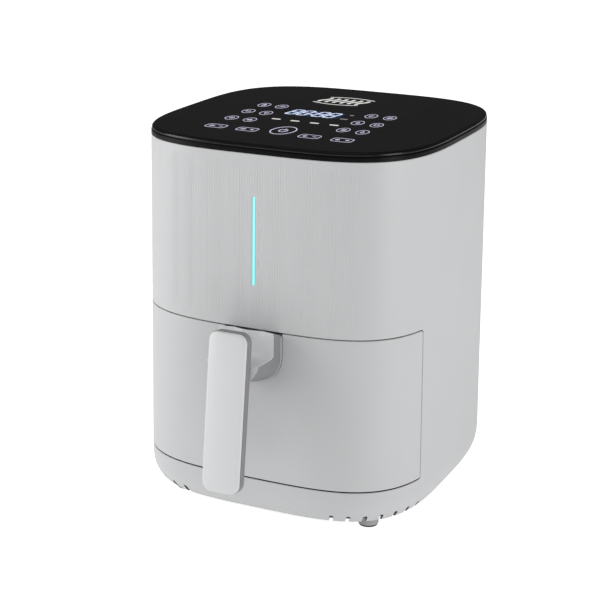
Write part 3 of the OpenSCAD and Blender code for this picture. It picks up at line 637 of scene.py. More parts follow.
class Shape:
    """Points and faces of one piece while it is being built."""

    def __init__(self) -> None:
        """Starts empty."""
        self.points: list[Point] = []
        self.faces: list[Face] = []

    def add(self, points: Points | np.ndarray) -> list[int]:
        """Adds points.

        Args:
            points: their positions.

        Returns:
            Their indices.
        """
        start = len(self.points)
        self.points.extend(tuple(float(v) for v in p) for p in points)
        return list(range(start, len(self.points)))

    def strip(self, low: Sequence[int], high: Sequence[int], closed: bool = True) -> None:
        """Joins two rows of points with quads.

        Args:
            low: indices of one row.
            high: indices of the other row.
            closed: whether the rows are loops.
        """
        count = len(low)
        for i in range(count if closed else count - 1):
            k = (i + 1) % count
            self.faces.append((low[i], low[k], high[k], high[i]))

    def loft(self, rows: Sequence[Points], closed: bool = True, caps: bool = True) -> None:
        """Joins rows of points in order, with a face on each end.

        Args:
            rows: rows with equal counts of points.
            closed: whether each row is a loop.
            caps: whether the ends get a face.
        """
        kept = [self.add(row) for row in rows]
        for low, high in zip(kept, kept[1:]):
            self.strip(low, high, closed)
        if caps:
            self.faces.append(tuple(reversed(kept[0])))
            self.faces.append(tuple(kept[-1]))

    def ring(self, rows: Sequence[Points]) -> None:
        """Joins loops in order and the last one to the first, as round a tyre.

        Args:
            rows: loops with equal counts of points.
        """
        kept = [self.add(row) for row in rows]
        for low, high in zip(kept, kept[1:] + kept[:1]):
            self.strip(low, high)

    def prism(
        self, outline: Points, low: float, high: float,
        place: Callable[[np.ndarray], np.ndarray] | None = None,
    ) -> None:
        """Adds a straight solid between two heights."""
        rows = [np.array([(p[0], p[1], z) for p in outline]) for z in (low, high)]
        self.loft([place(row) if place else row for row in rows])

    def lathe(self, profile: Sequence[tuple[float, float]], centre: Sequence[float], count: int = 40) -> None:
        """Turns a profile about the vertical line through a centre.

        Args:
            profile: radius and height pairs from the axis, round the outside and back to the axis.
            centre: the place of the axis' foot.
            count: how many steps go round.
        """
        turn = np.arange(count) * 2 * math.pi / count
        rows = [
            np.stack([centre[0] + r * np.cos(turn), centre[1] + r * np.sin(turn), np.full(count, centre[2] + z)],
                     axis=1)
            for r, z in profile
        ]
        self.loft(rows)

    def bar(self, rows: Sequence[Points]) -> None:
        """Joins the four long edges of a bar into a closed solid.

        Args:
            rows: the points of each long edge, in order round the bar.
        """
        kept = [self.add(row) for row in rows]
        for one, two in zip(kept, kept[1:] + kept[:1]):
            self.strip(one, two, closed=False)
        self.faces.append(tuple(row[0] for row in reversed(kept)))
        self.faces.append(tuple(row[-1] for row in kept))

    def tube(self, path: np.ndarray, radius: float, count: int = 10, closed: bool = False) -> None:
        """Sweeps a round section along a path.

        Args:
            path: points along its middle.
            radius: the section's radius.
            count: how many steps go round.
            closed: whether the path is a loop.
        """
        path = np.asarray(path, float)
        ahead = np.roll(path, -1, axis=0) - np.roll(path, 1, axis=0)
        if not closed:
            ahead[0] = path[1] - path[0]
            ahead[-1] = path[-1] - path[-2]
        ahead /= np.linalg.norm(ahead, axis=1)[:, None]
        side = np.cross(ahead[0], (0.31, 0.17, 0.93))
        rows = []
        for place, way in zip(path, ahead):
            side = side - way * np.dot(side, way)
            side /= np.linalg.norm(side)
            other = np.cross(way, side)
            turn = np.arange(count) * 2 * math.pi / count
            rows.append(place + radius * (np.cos(turn)[:, None] * side + np.sin(turn)[:, None] * other))
        if closed:
            self.ring(rows)
        else:
            self.loft(rows)

    def ribbon(self, path: Points, width: float, low: float, high: float, closed: bool = False) -> None:
        """Adds a flat stroke of even width along a path in the plane.

        Args:
            path: points of its middle.
            width: the stroke's width.
            low: the height of its underside.
            high: the height of its face.
            closed: whether the path is a loop.
        """
        points = np.asarray(path, float)[:, :2]
        ahead = np.roll(points, -1, axis=0) - np.roll(points, 1, axis=0)
        if not closed:
            ahead[0] = points[1] - points[0]
            ahead[-1] = points[-1] - points[-2]
        ahead /= np.maximum(np.linalg.norm(ahead, axis=1)[:, None], 1e-9)
        side = np.stack([-ahead[:, 1], ahead[:, 0]], axis=1) * width / 2
        rows = [
            np.column_stack([points + shift, np.full(len(points), z)])
            for shift, z in ((side, low), (side, high), (-side, high), (-side, low))
        ]
        if closed:
            self.ring(rows)
            return
        self.bar(rows)

    def mesh(self, name: str, weld: float = 1e-6) -> bpy.types.Mesh:
        """Makes the mesh, with doubled points joined and faces turned outwards.

        Args:
            name: the mesh's name.
            weld: how near two points must be to be joined.

        Returns:
            The mesh.
        """
        made = bpy.data.meshes.new(name)
        made.from_pydata(self.points, [], self.faces)
        work = bmesh.new()
        work.from_mesh(made)
        bmesh.ops.remove_doubles(work, verts=work.verts, dist=weld)
        bmesh.ops.dissolve_degenerate(work, edges=work.edges, dist=1e-8)
        loose = [v for v in work.verts if not v.link_faces]
        bmesh.ops.delete(work, geom=loose, context="VERTS")
        bmesh.ops.recalc_face_normals(work, faces=work.faces)
        work.to_mesh(made)
        work.free()
        return made


def show(
    shape: Shape, name: str, finish: Finish, body: Body, replaces: Sequence[str] = (), crease: float = 32.0,
    bevel: float = 0.0,
) -> Piece:
    """Makes a piece of the object from a shape.

    Args:
        shape: the finished shape.
        name: the piece's name.
        finish: its finish.
        body: the body it rides on.
        replaces: the CAD nodes it stands for.
        crease: the angle in degrees from which an edge stays sharp.
        bevel: the width of its rounded edges.

    Returns:
        The piece.
    """
    mesh = shape.mesh(name)
    piece = bpy.data.objects.new(name, mesh)
    bpy.context.scene.collection.objects.link(piece)
    mesh.materials.append(finish.material())
    mesh.polygons.foreach_set("use_smooth", [True] * len(mesh.polygons))
    mesh.set_sharp_from_angle(angle=math.radians(crease))
    if bevel:
        soften(piece, bevel)
    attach(piece, body.value)
    if replaces:
        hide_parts(*replaces)
    LOG.info("%s: %d faces on %s", name, len(mesh.polygons), body.value)
    return piece


def soften(piece: Piece, width: float, segments: int = 2, angle: float = 38.0) -> None:
    """Rounds the sharp edges of a piece.

    Args:
        piece: the piece.
        width: the width of the rounding.
        segments: how many steps it has.
        angle: the edge angle in degrees from which it acts.
    """
    rounding = piece.modifiers.new("rounded_edges", "BEVEL")
    rounding.width = width
    rounding.segments = segments
    rounding.limit_method = "ANGLE"
    rounding.angle_limit = math.radians(angle)
    rounding.harden_normals = True


def dress_node(name: str, finish: Finish, bevel: float = 0.0) -> None:
    """Gives a CAD node its finish and rounded edges.

    Args:
        name: the node's name.
        finish: its finish.
        bevel: the width of its rounded edges.
    """
    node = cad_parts[name]
    node.data.materials.clear()
    node.data.materials.append(finish.material())
    if bevel:
        soften(node, bevel, 2, 35.0)
    LOG.info("%s: CAD node with %s", name, finish.name)


def rounded_ring(width: float, depth: float, radius: float, steps: int = 8) -> np.ndarray:
    """Points round a rectangle with round corners, centred.

    Args:
        width: its size along X.
        depth: its size along Y.
        radius: the corners' radius.
        steps: how many steps each corner has.

    Returns:
        The points, anticlockwise.
    """
    points = []
    for quarter, (sx, sy) in enumerate(((1, 1), (-1, 1), (-1, -1), (1, -1))):
        for i in range(steps + 1):
            turn = math.pi / 2 * (quarter + i / steps)
            points.append((
                sx * (width / 2 - radius) + radius * math.cos(turn),
                sy * (depth / 2 - radius) + radius * math.sin(turn),
            ))
    return np.array(points)


def resample(points: np.ndarray, pitch: float, closed: bool = True) -> np.ndarray:
    """Adds points to the long edges of a line.

    Args:
        points: the line's points.
        pitch: the longest edge to leave.
        closed: whether the line is a loop.

    Returns:
        The denser line.
    """
    result = []
    count = len(points)
    for i in range(count if closed else count - 1):
        start, end = points[i], points[(i + 1) % count]
        steps = max(1, math.ceil(np.linalg.norm(end - start) / pitch))
        result.extend(start + (end - start) * k / steps for k in range(steps))
    if not closed:
        result.append(points[-1])
    return np.array(result)


@dataclass
class Outline:
    """The housing's wall: a superellipse that widens downwards and curves in at its lower edge."""

    width: float = 260.0 * MM
    depth: float = 267.4 * MM
    flare: float = 3.6 * MM
    power: float = 3.55
    skirt: float = 34.0 * MM
    skirt_in: float = 8.7 * MM
    skirt_power: float = 3.85
    middle_y: float = field(init=False)
    top: float = field(init=False)
    low: float = field(init=False)

    def __post_init__(self) -> None:
        """Takes the housing's place from the frame and measures the outline's length."""
        low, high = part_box("top_panel")
        self.middle_y = (low[1] + high[1]) / 2
        self.top = high[2]
        self.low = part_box("outer_shell")[0][2]
        self.turns = np.linspace(-math.pi * 1.5, math.pi / 2, 7201)
        line = self.rim(self.turns, np.full(self.turns.shape, self.top))[:, :2]
        steps = np.linalg.norm(np.diff(line, axis=0), axis=1)
        length = np.concatenate([[0.0], np.cumsum(steps)])
        self.lengths = length - np.interp(-math.pi / 2, self.turns, length)
        self.half_length = float(self.lengths[-1])

    def halves(self, z: np.ndarray) -> tuple[np.ndarray, np.ndarray]:
        """Half the outline's width and depth at each height.

        Args:
            z: the heights.

        Returns:
            The half widths and half depths.
        """
        grow = 1 + 2 * self.flare / self.width * (self.top - z) / (self.top - self.low)
        under = np.clip(self.low + self.skirt - z, 0.0, None) / self.skirt
        tuck = self.skirt_in * under**self.skirt_power
        return self.width / 2 * grow - tuck, self.depth / 2 * grow - tuck

    def rim(self, turn: np.ndarray, z: np.ndarray, inset: float = 0.0) -> np.ndarray:
        """Points of the wall.

        Args:
            turn: their angles about the middle.
            z: their heights.
            inset: how far the outline is drawn in.

        Returns:
            The points, in the frame.
        """
        half_w, half_d = self.halves(z)
        across = (np.abs(np.cos(turn)) / (half_w - inset)) ** self.power
        along = (np.abs(np.sin(turn)) / (half_d - inset)) ** self.power
        reach = (across + along) ** (-1 / self.power)
        return np.stack([reach * np.cos(turn), self.middle_y + reach * np.sin(turn), z], axis=-1)

    def turn_of(self, u: np.ndarray) -> np.ndarray:
        """The angle at each length along the wall from the middle of its front."""
        return np.interp(u, self.lengths, self.turns)

    def u_at_y(self, y: float, z: np.ndarray) -> np.ndarray:
        """The length along the wall, on the right, at which it is a distance in front of the middle.

        Args:
            y: the distance in front of the middle.
            z: the heights.

        Returns:
            The lengths.
        """
        half_w, half_d = self.halves(z)
        x = half_w * (1 - (y / half_d) ** self.power) ** (1 / self.power)
        return np.interp(-np.arctan2(y, x), self.turns, self.lengths)

    def u_at_turn(self, turn: float) -> float:
        """The length along the wall at an angle."""
        return float(np.interp(turn, self.turns, self.lengths))

    def place(self, where: np.ndarray, depth: np.ndarray | float = 0.0) -> np.ndarray:
        """Points of the wall from their length along it and height.

        Args:
            where: rows of length and height.
            depth: how deep each lies below the surface.

        Returns:
            The points, in the frame.
        """
        turn, z = self.turn_of(where[:, 0]), where[:, 1]
        on = self.rim(turn, z)
        half_w, half_d = self.halves(z)
        x, y = on[:, 0], on[:, 1] - self.middle_y
        out = np.stack([
            np.sign(x) * (np.abs(x) / half_w) ** (self.power - 1) / half_w,
            np.sign(y) * (np.abs(y) / half_d) ** (self.power - 1) / half_d,
            np.zeros(len(x)),
        ], axis=1)
        out /= np.linalg.norm(out, axis=1)[:, None]
        return on - out * np.broadcast_to(depth, len(x))[:, None]


@dataclass
class Flutes:
    """Fine vertical grooves across the upper front, fading towards the sides and ends."""

    outline: Outline
    pitch: float = 2.3 * MM
    depth: float = 0.32 * MM
    half_width: float = 104.0 * MM
    fade: float = 26.0 * MM
    low: float = 182.0 * MM
    high: float = 322.0 * MM
    end: float = 5.0 * MM
    slot: float = 3.2 * MM
    slot_low: float = 213.0 * MM
    slot_high: float = 292.0 * MM

    def cut(self, where: np.ndarray) -> np.ndarray:
        """How deep the grooves are.

        Args:
            where: rows of length along the wall and height.

        Returns:
            The depth at each place.
        """
        u, z = where[:, 0], where[:, 1]
        side = np.clip((self.half_width - np.abs(u)) / self.fade, 0, 1)
        ends = np.clip(np.minimum(z - self.low, self.high - z) / self.end, 0, 1)
        near = np.maximum(np.abs(u) - self.slot, np.maximum(self.slot_low - z, z - self.slot_high))
        clear = np.clip(near / (1.5 * MM), 0, 1)
        drift = 0.75 + 0.25 * np.sin(u * 310.0 + 1.3 * np.sin(u * 83.0))
        wave = 0.5 - 0.5 * np.cos(2 * math.pi * u / self.pitch)
        return self.depth * wave * drift * side * ends * clear

    def columns(self) -> np.ndarray:
        """Where the wall needs points to show the grooves."""
        reach = math.ceil(self.half_width / self.pitch)
        return np.arange(-reach * 6, reach * 6 + 1) * self.pitch / 6


def inside(loop: np.ndarray, where: np.ndarray) -> np.ndarray:
    """Which points lie inside a loop.

    Args:
        loop: the loop's points.
        where: the points to test.

    Returns:
        A mask.
    """
    result = np.zeros(len(where), bool)
    ends = np.roll(loop, -1, axis=0)
    for (x0, y0), (x1, y1) in zip(loop, ends):
        if y0 == y1:
            continue
        across = (where[:, 1] >= min(y0, y1)) & (where[:, 1] < max(y0, y1))
        cross_x = x0 + (where[:, 1] - y0) * (x1 - x0) / (y1 - y0)
        result ^= across & (where[:, 0] < cross_x)
    return result


@dataclass
class Border:
    """One edge line of a skin, with the skin's material on its left."""

    line: np.ndarray
    rounding: float
    closed: bool = True

    def moved(self, distance: float) -> np.ndarray:
        """The line moved into the skin.

        Args:
            distance: how far it moves.

        Returns:
            The moved points.
        """
        ahead = np.roll(self.line, -1, axis=0) - self.line
        ahead /= np.maximum(np.linalg.norm(ahead, axis=1)[:, None], 1e-9)
        behind = np.roll(ahead, 1, axis=0)
        if not self.closed:
            ahead[-1] = behind[-1]
            behind[0] = ahead[0]
        left = np.stack([-ahead[:, 1] - behind[:, 1], ahead[:, 0] + behind[:, 0]], axis=1)
        scale = np.sum(left * left, axis=1) / 2
        return self.line + left * (distance / np.maximum(scale, 0.3))[:, None]


@dataclass
class Skin:
    """A moulded wall with rounded edges, laid on a curved surface."""

    place: Callable[[np.ndarray, np.ndarray | float], np.ndarray]
    thickness: float
    borders: list[Border]
    sides: list[np.ndarray] = field(default_factory=list)
    inner_rounding: float = 0.2 * MM
    cut: Callable[[np.ndarray], np.ndarray] | None = None
    steps: int = 4

    def face(self, shape: Shape, grid: np.ndarray, depth: float, rounded: bool) -> None:
        """Adds one face of the wall.

        Args:
            shape: the shape to add to.
            grid: points over the whole face.
            depth: how deep the face lies.
            rounded: whether it's the outer face, which the outer rounding trims.
        """
        loops = [b.moved(b.rounding if rounded else self.inner_rounding) for b in self.borders]
        lines, edges, start = [], [], 0
        for border, loop in zip(self.borders, loops):
            count = len(loop)
            lines.append(loop)
            edges += [(start + i, start + (i + 1) % count) for i in range(count if border.closed else count - 1)]
            start += count
        frame_loops = self.joined(loops)
        for side in self.sides:
            lines.append(side)
            edges += [(start + i, start + i + 1) for i in range(len(side) - 1)]
            start += len(side)
        rim = np.concatenate(lines)
        keep = self.covered(frame_loops, grid)
        grid = grid[keep]
        grid = grid[self.far(grid, rim, 0.35 * MM)]
        points = np.concatenate([rim, grid])
        scaled = [Vector(p) for p in points * 1000.0]
        corners, _, triangles, *_ = delaunay_2d_cdt(scaled, edges, [], 0, MERGE)
        flat = np.array([tuple(v) for v in corners]) / 1000.0
        middles = np.array([flat[list(t)].mean(axis=0) for t in triangles])
        good = self.covered(frame_loops, middles)
        deep = np.full(len(flat), depth)
        if rounded and self.cut is not None:
            deep = deep + self.cut(flat)
        kept = shape.add(self.place(flat, deep))
        shape.faces += [tuple(kept[i] for i in t) for t, ok in zip(triangles, good) if ok]

    def joined(self, loops: list[np.ndarray]) -> list[np.ndarray]:
        """Closed loops that bound the face, with open borders joined into one.

        Args:
            loops: a line for each border.

        Returns:
            The closed loops.
        """
        open_lines = [loop for b, loop in zip(self.borders, loops) if not b.closed]
        closed = [loop for b, loop in zip(self.borders, loops) if b.closed]
        return ([np.concatenate(open_lines)] if open_lines else []) + closed

    def covered(self, loops: list[np.ndarray], where: np.ndarray) -> np.ndarray:
        """Which points the face covers.

        Args:
            loops: its closed loops.
            where: the points to test.

        Returns:
            A mask.
        """
        count = np.zeros(len(where), int)
        for loop in loops:
            count += inside(loop, where)
        return count % 2 == 1

    def far(self, where: np.ndarray, rim: np.ndarray, gap: float) -> np.ndarray:
        """Which points keep clear of the border's points.

        Args:
            where: the points to test.
            rim: the border's points.
            gap: the clearance.

        Returns:
            A mask.
        """
        result = np.ones(len(where), bool)
        for start in range(0, len(where), 4000):
            part = where[start : start + 4000]
            apart = np.abs(part[:, None, :] - rim[None, :, :]).max(axis=2).min(axis=1)
            result[start : start + 4000] = apart > gap
        return result

    def build(self, outer: np.ndarray, inner: np.ndarray) -> Shape:
        """Makes the whole wall.

        Args:
            outer: points over its outer face.
            inner: points over its inner face.

        Returns:
            The shape.
        """
        shape = Shape()
        self.face(shape, outer, 0.0, True)
        self.face(shape, inner, self.thickness, False)
        for border in self.borders:
            rows = []
            for k in range(self.steps + 1):
                turn = math.pi / 2 * k / self.steps
                off = border.rounding * (1 - math.sin(turn))
                line = border.moved(off)
                depth = np.full(len(line), border.rounding * (1 - math.cos(turn)))
                if k == 0 and self.cut is not None:
                    depth = depth + self.cut(line)
                rows.append(self.place(line, depth))
            for k in range(3):
                turn = math.pi / 2 * k / 2
                line = border.moved(self.inner_rounding * (1 - math.cos(turn)))
                rows.append(self.place(line, self.thickness - self.inner_rounding * (1 - math.sin(turn))))
            kept = [shape.add(row) for row in rows]
            for low, high in zip(kept, kept[1:]):
                shape.strip(low, high, border.closed)
        return shape


def grid_of(columns: np.ndarray, rows: np.ndarray) -> np.ndarray:
    """Points at every crossing of columns and rows."""
    across, up = np.meshgrid(columns, rows)
    return np.stack([across.ravel(), up.ravel()], axis=1)


def corner_arcs(low: Sequence[float], high: Sequence[float], r: float) -> tuple[np.ndarray, np.ndarray]:
    """Round corners at the right of an outline that goes anticlockwise.

    Args:
        low: the lower corner, as length and height.
        high: the upper corner.
        r: their radius.

    Returns:
        The points of the lower and of the upper corner.
    """
    turn = np.linspace(0, math.pi / 2, 6)
    under = np.stack([low[0] - r + r * np.sin(turn), low[1] + r - r * np.cos(turn)], axis=1)
    return under, np.stack([high[0] - r + r * np.cos(turn), high[1] - r + r * np.sin(turn)], axis=1)


# ---------------------------------------------------------------- housing


@dataclass
class HousingShell:
    """Outer wall of the housing with the drawer's opening, the light slot, air notches and inner flange."""

    outline: Outline
    wall: float = 2.6 * MM
    seam_low: float = 42.4 * MM
    seam_high: float = 177.6 * MM
    seam_y: float = 73.0 * MM
    corner: float = 3.0 * MM
    rounding: float = 0.7 * MM
    slot_half: float = 1.5 * MM
    slot_low: float = 215.0 * MM
    slot_high: float = 290.4 * MM
    notch_w: float = 3.8 * MM
    notch_h: float = 7.4 * MM
    # Depth inside the outer surface from which the wall's faces take painted shade.
    painted_shade_from: float = 1.1 * MM
    notch_pitch: float = 14.0 * MM
    notches: int = 7
    bush_r: float = 7.2 * MM
    flange_z: float = 16.0 * MM
    flange_t: float = 2.4 * MM
    flange_w: float = 26.0 * MM
    shell_top: float = field(init=False)

    def __post_init__(self) -> None:
        """Takes the wall's top from the frame."""
        self.shell_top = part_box("outer_shell")[1][2]

    def opening(self) -> np.ndarray:
        """The drawer's opening, clockwise, with small round corners.

        Returns:
            Its line of lengths and heights.
        """
        low, high, r = self.seam_low, self.seam_high, self.corner
        side_z = np.arange(low + r, high - r, PITCH)
        side = self.outline.u_at_y(self.seam_y, side_z)
        reach_low = float(self.outline.u_at_y(self.seam_y, np.array([low]))[0])
        reach_high = float(self.outline.u_at_y(self.seam_y, np.array([high]))[0])
        columns = Flutes(self.outline).columns()
        top = np.concatenate([columns, self.plain(columns[-1], reach_high - r)[1:]])
        top = np.concatenate([-self.plain(columns[-1], reach_high - r)[:0:-1], top])
        low_right, high_right = corner_arcs((reach_low, low), (reach_high, high), r)
        bottom = np.arange(-reach_low + r, reach_low - r, PITCH)
        right = np.concatenate([low_right, np.stack([side, side_z], axis=1)[1:], high_right[:-1]])
        left = right * (-1, 1)
        loop = np.concatenate([
            np.stack([bottom, np.full(len(bottom), low)], axis=1),
            right,
            np.stack([top[::-1], np.full(len(top), high)], axis=1),
            left[::-1][:-1],
        ])
        return self.tidy(loop)[::-1]

    def plain(self, start: float, end: float) -> np.ndarray:
        """Evenly spaced lengths between two."""
        return np.linspace(start, end, max(2, math.ceil((end - start) / PITCH)))

    def tidy(self, loop: np.ndarray) -> np.ndarray:
        """Drops points that lie on their neighbour."""
        apart = np.linalg.norm(np.roll(loop, -1, axis=0) - loop, axis=1)
        return loop[apart > 0.05 * MM]

    def slot(self) -> np.ndarray:
        """The light strip's slot, clockwise, with round ends.

        Returns:
            Its line.
        """
        r = self.slot_half
        turn = np.linspace(0, math.pi, 9)
        sides = np.arange(self.slot_low + r, self.slot_high - r, 5 * MM)[1:]
        up = np.stack([np.full(len(sides), r), sides], axis=1)
        head = np.stack([r * np.cos(turn), self.slot_high - r + r * np.sin(turn)], axis=1)
        foot = np.stack([-r * np.cos(turn), self.slot_low + r - r * np.sin(turn)], axis=1)
        return np.concatenate([up, head, up[::-1] * (-1, 1), foot])[::-1]

    def lower_edge(self) -> np.ndarray:
        """The wall's lower edge from the back round the left, front and right, with its air notches.

        Returns:
            Its line.
        """
        spots = []
        for quarter in range(4):
            corner = -math.pi * 5 / 4 + quarter * math.pi / 2
            low = np.array([self.outline.low])
            reach = np.linalg.norm(self.outline.rim(np.array([corner]), low)[0, :2] - (0, self.outline.middle_y))
            step = self.notch_pitch / reach
            for i in range(self.notches):
                spots.append(self.outline.u_at_turn(corner + (i - (self.notches - 1) / 2) * step))
        half, r, z0 = self.notch_w / 2, self.notch_w / 2, self.outline.low
        turn = np.linspace(math.pi, 0, 9)
        line = [(-self.outline.half_length, z0)]
        for spot in sorted(spots):
            head = [(spot + r * math.cos(a), z0 + self.notch_h - r + r * math.sin(a)) for a in turn]
            line += [(spot - half, z0), *head, (spot + half, z0)]
        line.append((self.outline.half_length, z0))
        return resample(np.array(line), PITCH, closed=False)

    def upper_edge(self) -> np.ndarray:
        """The wall's upper edge, from the back round the right, front and left.

        Returns:
            Its line.
        """
        columns = Flutes(self.outline).columns()
        end = self.outline.half_length
        right = self.plain(columns[-1], end)[1:]
        across = np.concatenate([-right[::-1], columns, right])[::-1]
        return np.stack([across, np.full(len(across), self.shell_top)], axis=1)

    def grid(self) -> np.ndarray:
        """Points over the wall, close together across the flutes and up the lower edge.

        Returns:
            The points.
        """
        flutes = Flutes(self.outline)
        end, low = self.outline.half_length, self.outline.low
        wide = np.linspace(-end, end, 361)
        plain = wide[np.abs(wide) > flutes.columns()[-1] + 1 * MM]
        base_rows = np.concatenate([np.arange(low + 1.5 * MM, low + 40 * MM, 2.6 * MM), np.arange(60, 178, 14) * MM])
        top_rows = np.concatenate([np.arange(180, 186, 2), np.arange(190, 318, 8), np.arange(318, 325, 2)]) * MM
        return np.concatenate([
            grid_of(wide[1:-1], base_rows),
            grid_of(plain[1:-1], top_rows),
            grid_of(flutes.columns(), top_rows),
        ])

    def build(self) -> Piece:
        """Makes the wall.

        Returns:
            The piece.
        """
        lower, upper = self.lower_edge(), self.upper_edge()
        end = self.outline.half_length
        rows = np.unique(np.concatenate([self.grid()[:, 1], [0.16, 0.2]]))
        rows = rows[(rows > self.outline.low + 1 * MM) & (rows < self.shell_top - 1.2 * MM)]
        low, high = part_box("rear_outlet_grille")
        half, z0, z1 = (high[0] - low[0]) / 2, low[2], high[2]
        gap = 0.3 * MM
        right_part = np.array([(end, z1 + gap), (end - half - gap, z1 + gap), (end - half - gap, z0 - gap),
                               (end, z0 - gap)])
        left_part = right_part[::-1] * (-1, 1)
        right_line = resample(right_part, 3 * MM, closed=False)[::-1]
        left_line = resample(left_part, 3 * MM, closed=False)[::-1]
        sides = []
        for x, flip in ((end, False), (-end, True)):
            for start, stop in ((self.outline.low + 0.2 * MM, z0 - gap), (z1 + gap, self.shell_top - 0.7 * MM)):
                inner = rows[(rows > start + 1 * MM) & (rows < stop - 1 * MM)]
                sides.append(np.stack([np.full(len(inner), x), inner], axis=1))
        borders = [
            Border(lower, 0.25 * MM, closed=False),
            Border(right_line, 0.2 * MM, closed=False),
            Border(upper, self.rounding, closed=False),
            Border(left_line, 0.2 * MM, closed=False),
            Border(self.opening(), self.rounding),
            Border(self.slot(), 0.3 * MM),
            Border(self.bush_hole(), 0.2 * MM),
        ]
        skin = Skin(self.outline.place, self.wall, borders, sides, cut=Flutes(self.outline).cut)
        coarse = grid_of(np.linspace(-end, end, 181)[1:-1], np.unique(np.round(rows[::3], 4)))
        shape = skin.build(self.grid(), coarse)
        self.flange(shape)
        piece = show(shape, "housing_wall", HOUSING_GREY, Body.HOUSING, ["outer_shell"])
        # Faces deeper than the set depth inside the outer surface take the dark finish: painted shade in the seam gaps,
        # the air notches and the wall's inside.
        piece.data.materials.append(DARK_PLASTIC_AND_SHADE.material())
        middles = np.array([face.center for face in piece.data.polygons])
        turn = np.arctan2(middles[:, 1] - self.outline.middle_y, middles[:, 0])
        reach = np.linalg.norm(middles[:, :2] - (0.0, self.outline.middle_y), axis=1)
        edge = np.linalg.norm(self.outline.rim(turn, middles[:, 2])[:, :2] - (0.0, self.outline.middle_y), axis=1)
        for i in np.flatnonzero(edge - reach > self.painted_shade_from):
            piece.data.polygons[int(i)].material_index = 1
        return piece

    def bush_hole(self) -> np.ndarray:
        """The inlet bush's hole at the back, clockwise.

        Returns:
            Its line.
        """
        low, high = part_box("inlet_bush")
        x, z = (low[0] + high[0]) / 2, (low[2] + high[2]) / 2
        half_w, half_d = self.outline.halves(np.array([z]))
        y = half_d[0] * (1 - (x / half_w[0]) ** self.outline.power) ** (1 / self.outline.power)
        u = self.outline.u_at_turn(math.atan2(y, x))
        turn = np.linspace(0, -2 * math.pi, 25)[:-1]
        return np.stack([u + self.bush_r * np.cos(turn), z + self.bush_r * np.sin(turn)], axis=1)

    def flange(self, shape: Shape) -> None:
        """Adds the flange inside the wall that the bottom cover is screwed to.

        Args:
            shape: the shape to add to.
        """
        z0, thick, width = self.flange_z, self.flange_t, self.flange_w
        turn = np.linspace(0, 2 * math.pi, 193)[:-1]
        rows = []
        for inset, z in ((self.wall * 0.6, z0), (self.wall * 0.6, z0 + thick), (width, z0 + thick), (width, z0)):
            rows.append(self.outline.rim(turn, np.full(turn.shape, z), inset))
        shape.ring(rows)


@dataclass
class TopCap:
    """Black ring and panel on top of the housing."""

    outline: Outline
    count: int = 256
    ring_round: float = 1.3 * MM
    plate_round: float = 2.5 * MM
    inset: float = 0.4 * MM

    def loop(self, z: float, inset: float, shape_z: float) -> np.ndarray:
        """One loop of the outline.

        Args:
            z: the height it lies at.
            inset: how far it's drawn in.
            shape_z: the height whose outline it takes.

        Returns:
            The loop.
        """
        turn = np.linspace(0, 2 * math.pi, self.count + 1)[:-1]
        points = self.outline.rim(turn, np.full(turn.shape, shape_z), inset)
        points[:, 2] = z
        return points

    def ring(self) -> Piece:
        """Makes the black ring below the panel.

        Returns:
            The piece.
        """
        low, high = (corner[2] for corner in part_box("top_trim_ring"))
        r = self.ring_round
        rows = [self.loop(low + 0.3 * MM, 0.0, low), self.loop(high - r, 0.0, high)]
        for k in range(1, 7):
            turn = math.pi / 2 * k / 6
            rows.append(self.loop(high - r * (1 - math.sin(turn)), r * (1 - math.cos(turn)), high))
        rows += [self.loop(high, 6 * MM, high), self.loop(low, 6 * MM, low), self.loop(low, 0.35 * MM, low)]
        shape = Shape()
        shape.ring(rows)
        return show(shape, "black_ring", RING_BLACK, Body.HOUSING, ["top_trim_ring"])

    def plate(self) -> Piece:
        """Makes the panel, with its rounded edge.

        Returns:
            The piece.
        """
        low, high = (corner[2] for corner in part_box("top_panel"))
        r = self.plate_round
        rows = [self.loop(low, self.inset + 0.9 * MM, low), self.loop(low + 0.25 * MM, self.inset + 0.2 * MM, low)]
        for k in range(11):
            turn = math.pi / 2 * k / 10
            rows.append(self.loop(high - r * (1 - math.sin(turn)), self.inset + r * (1 - math.cos(turn)), low))
        for inset in (6, 30, 70, 110):
            rows.append(self.loop(high, inset * MM, low))
        shape = Shape()
        shape.loft(rows)
        return show(shape, "black_panel", PANEL_BLACK, Body.HOUSING, ["top_panel"])


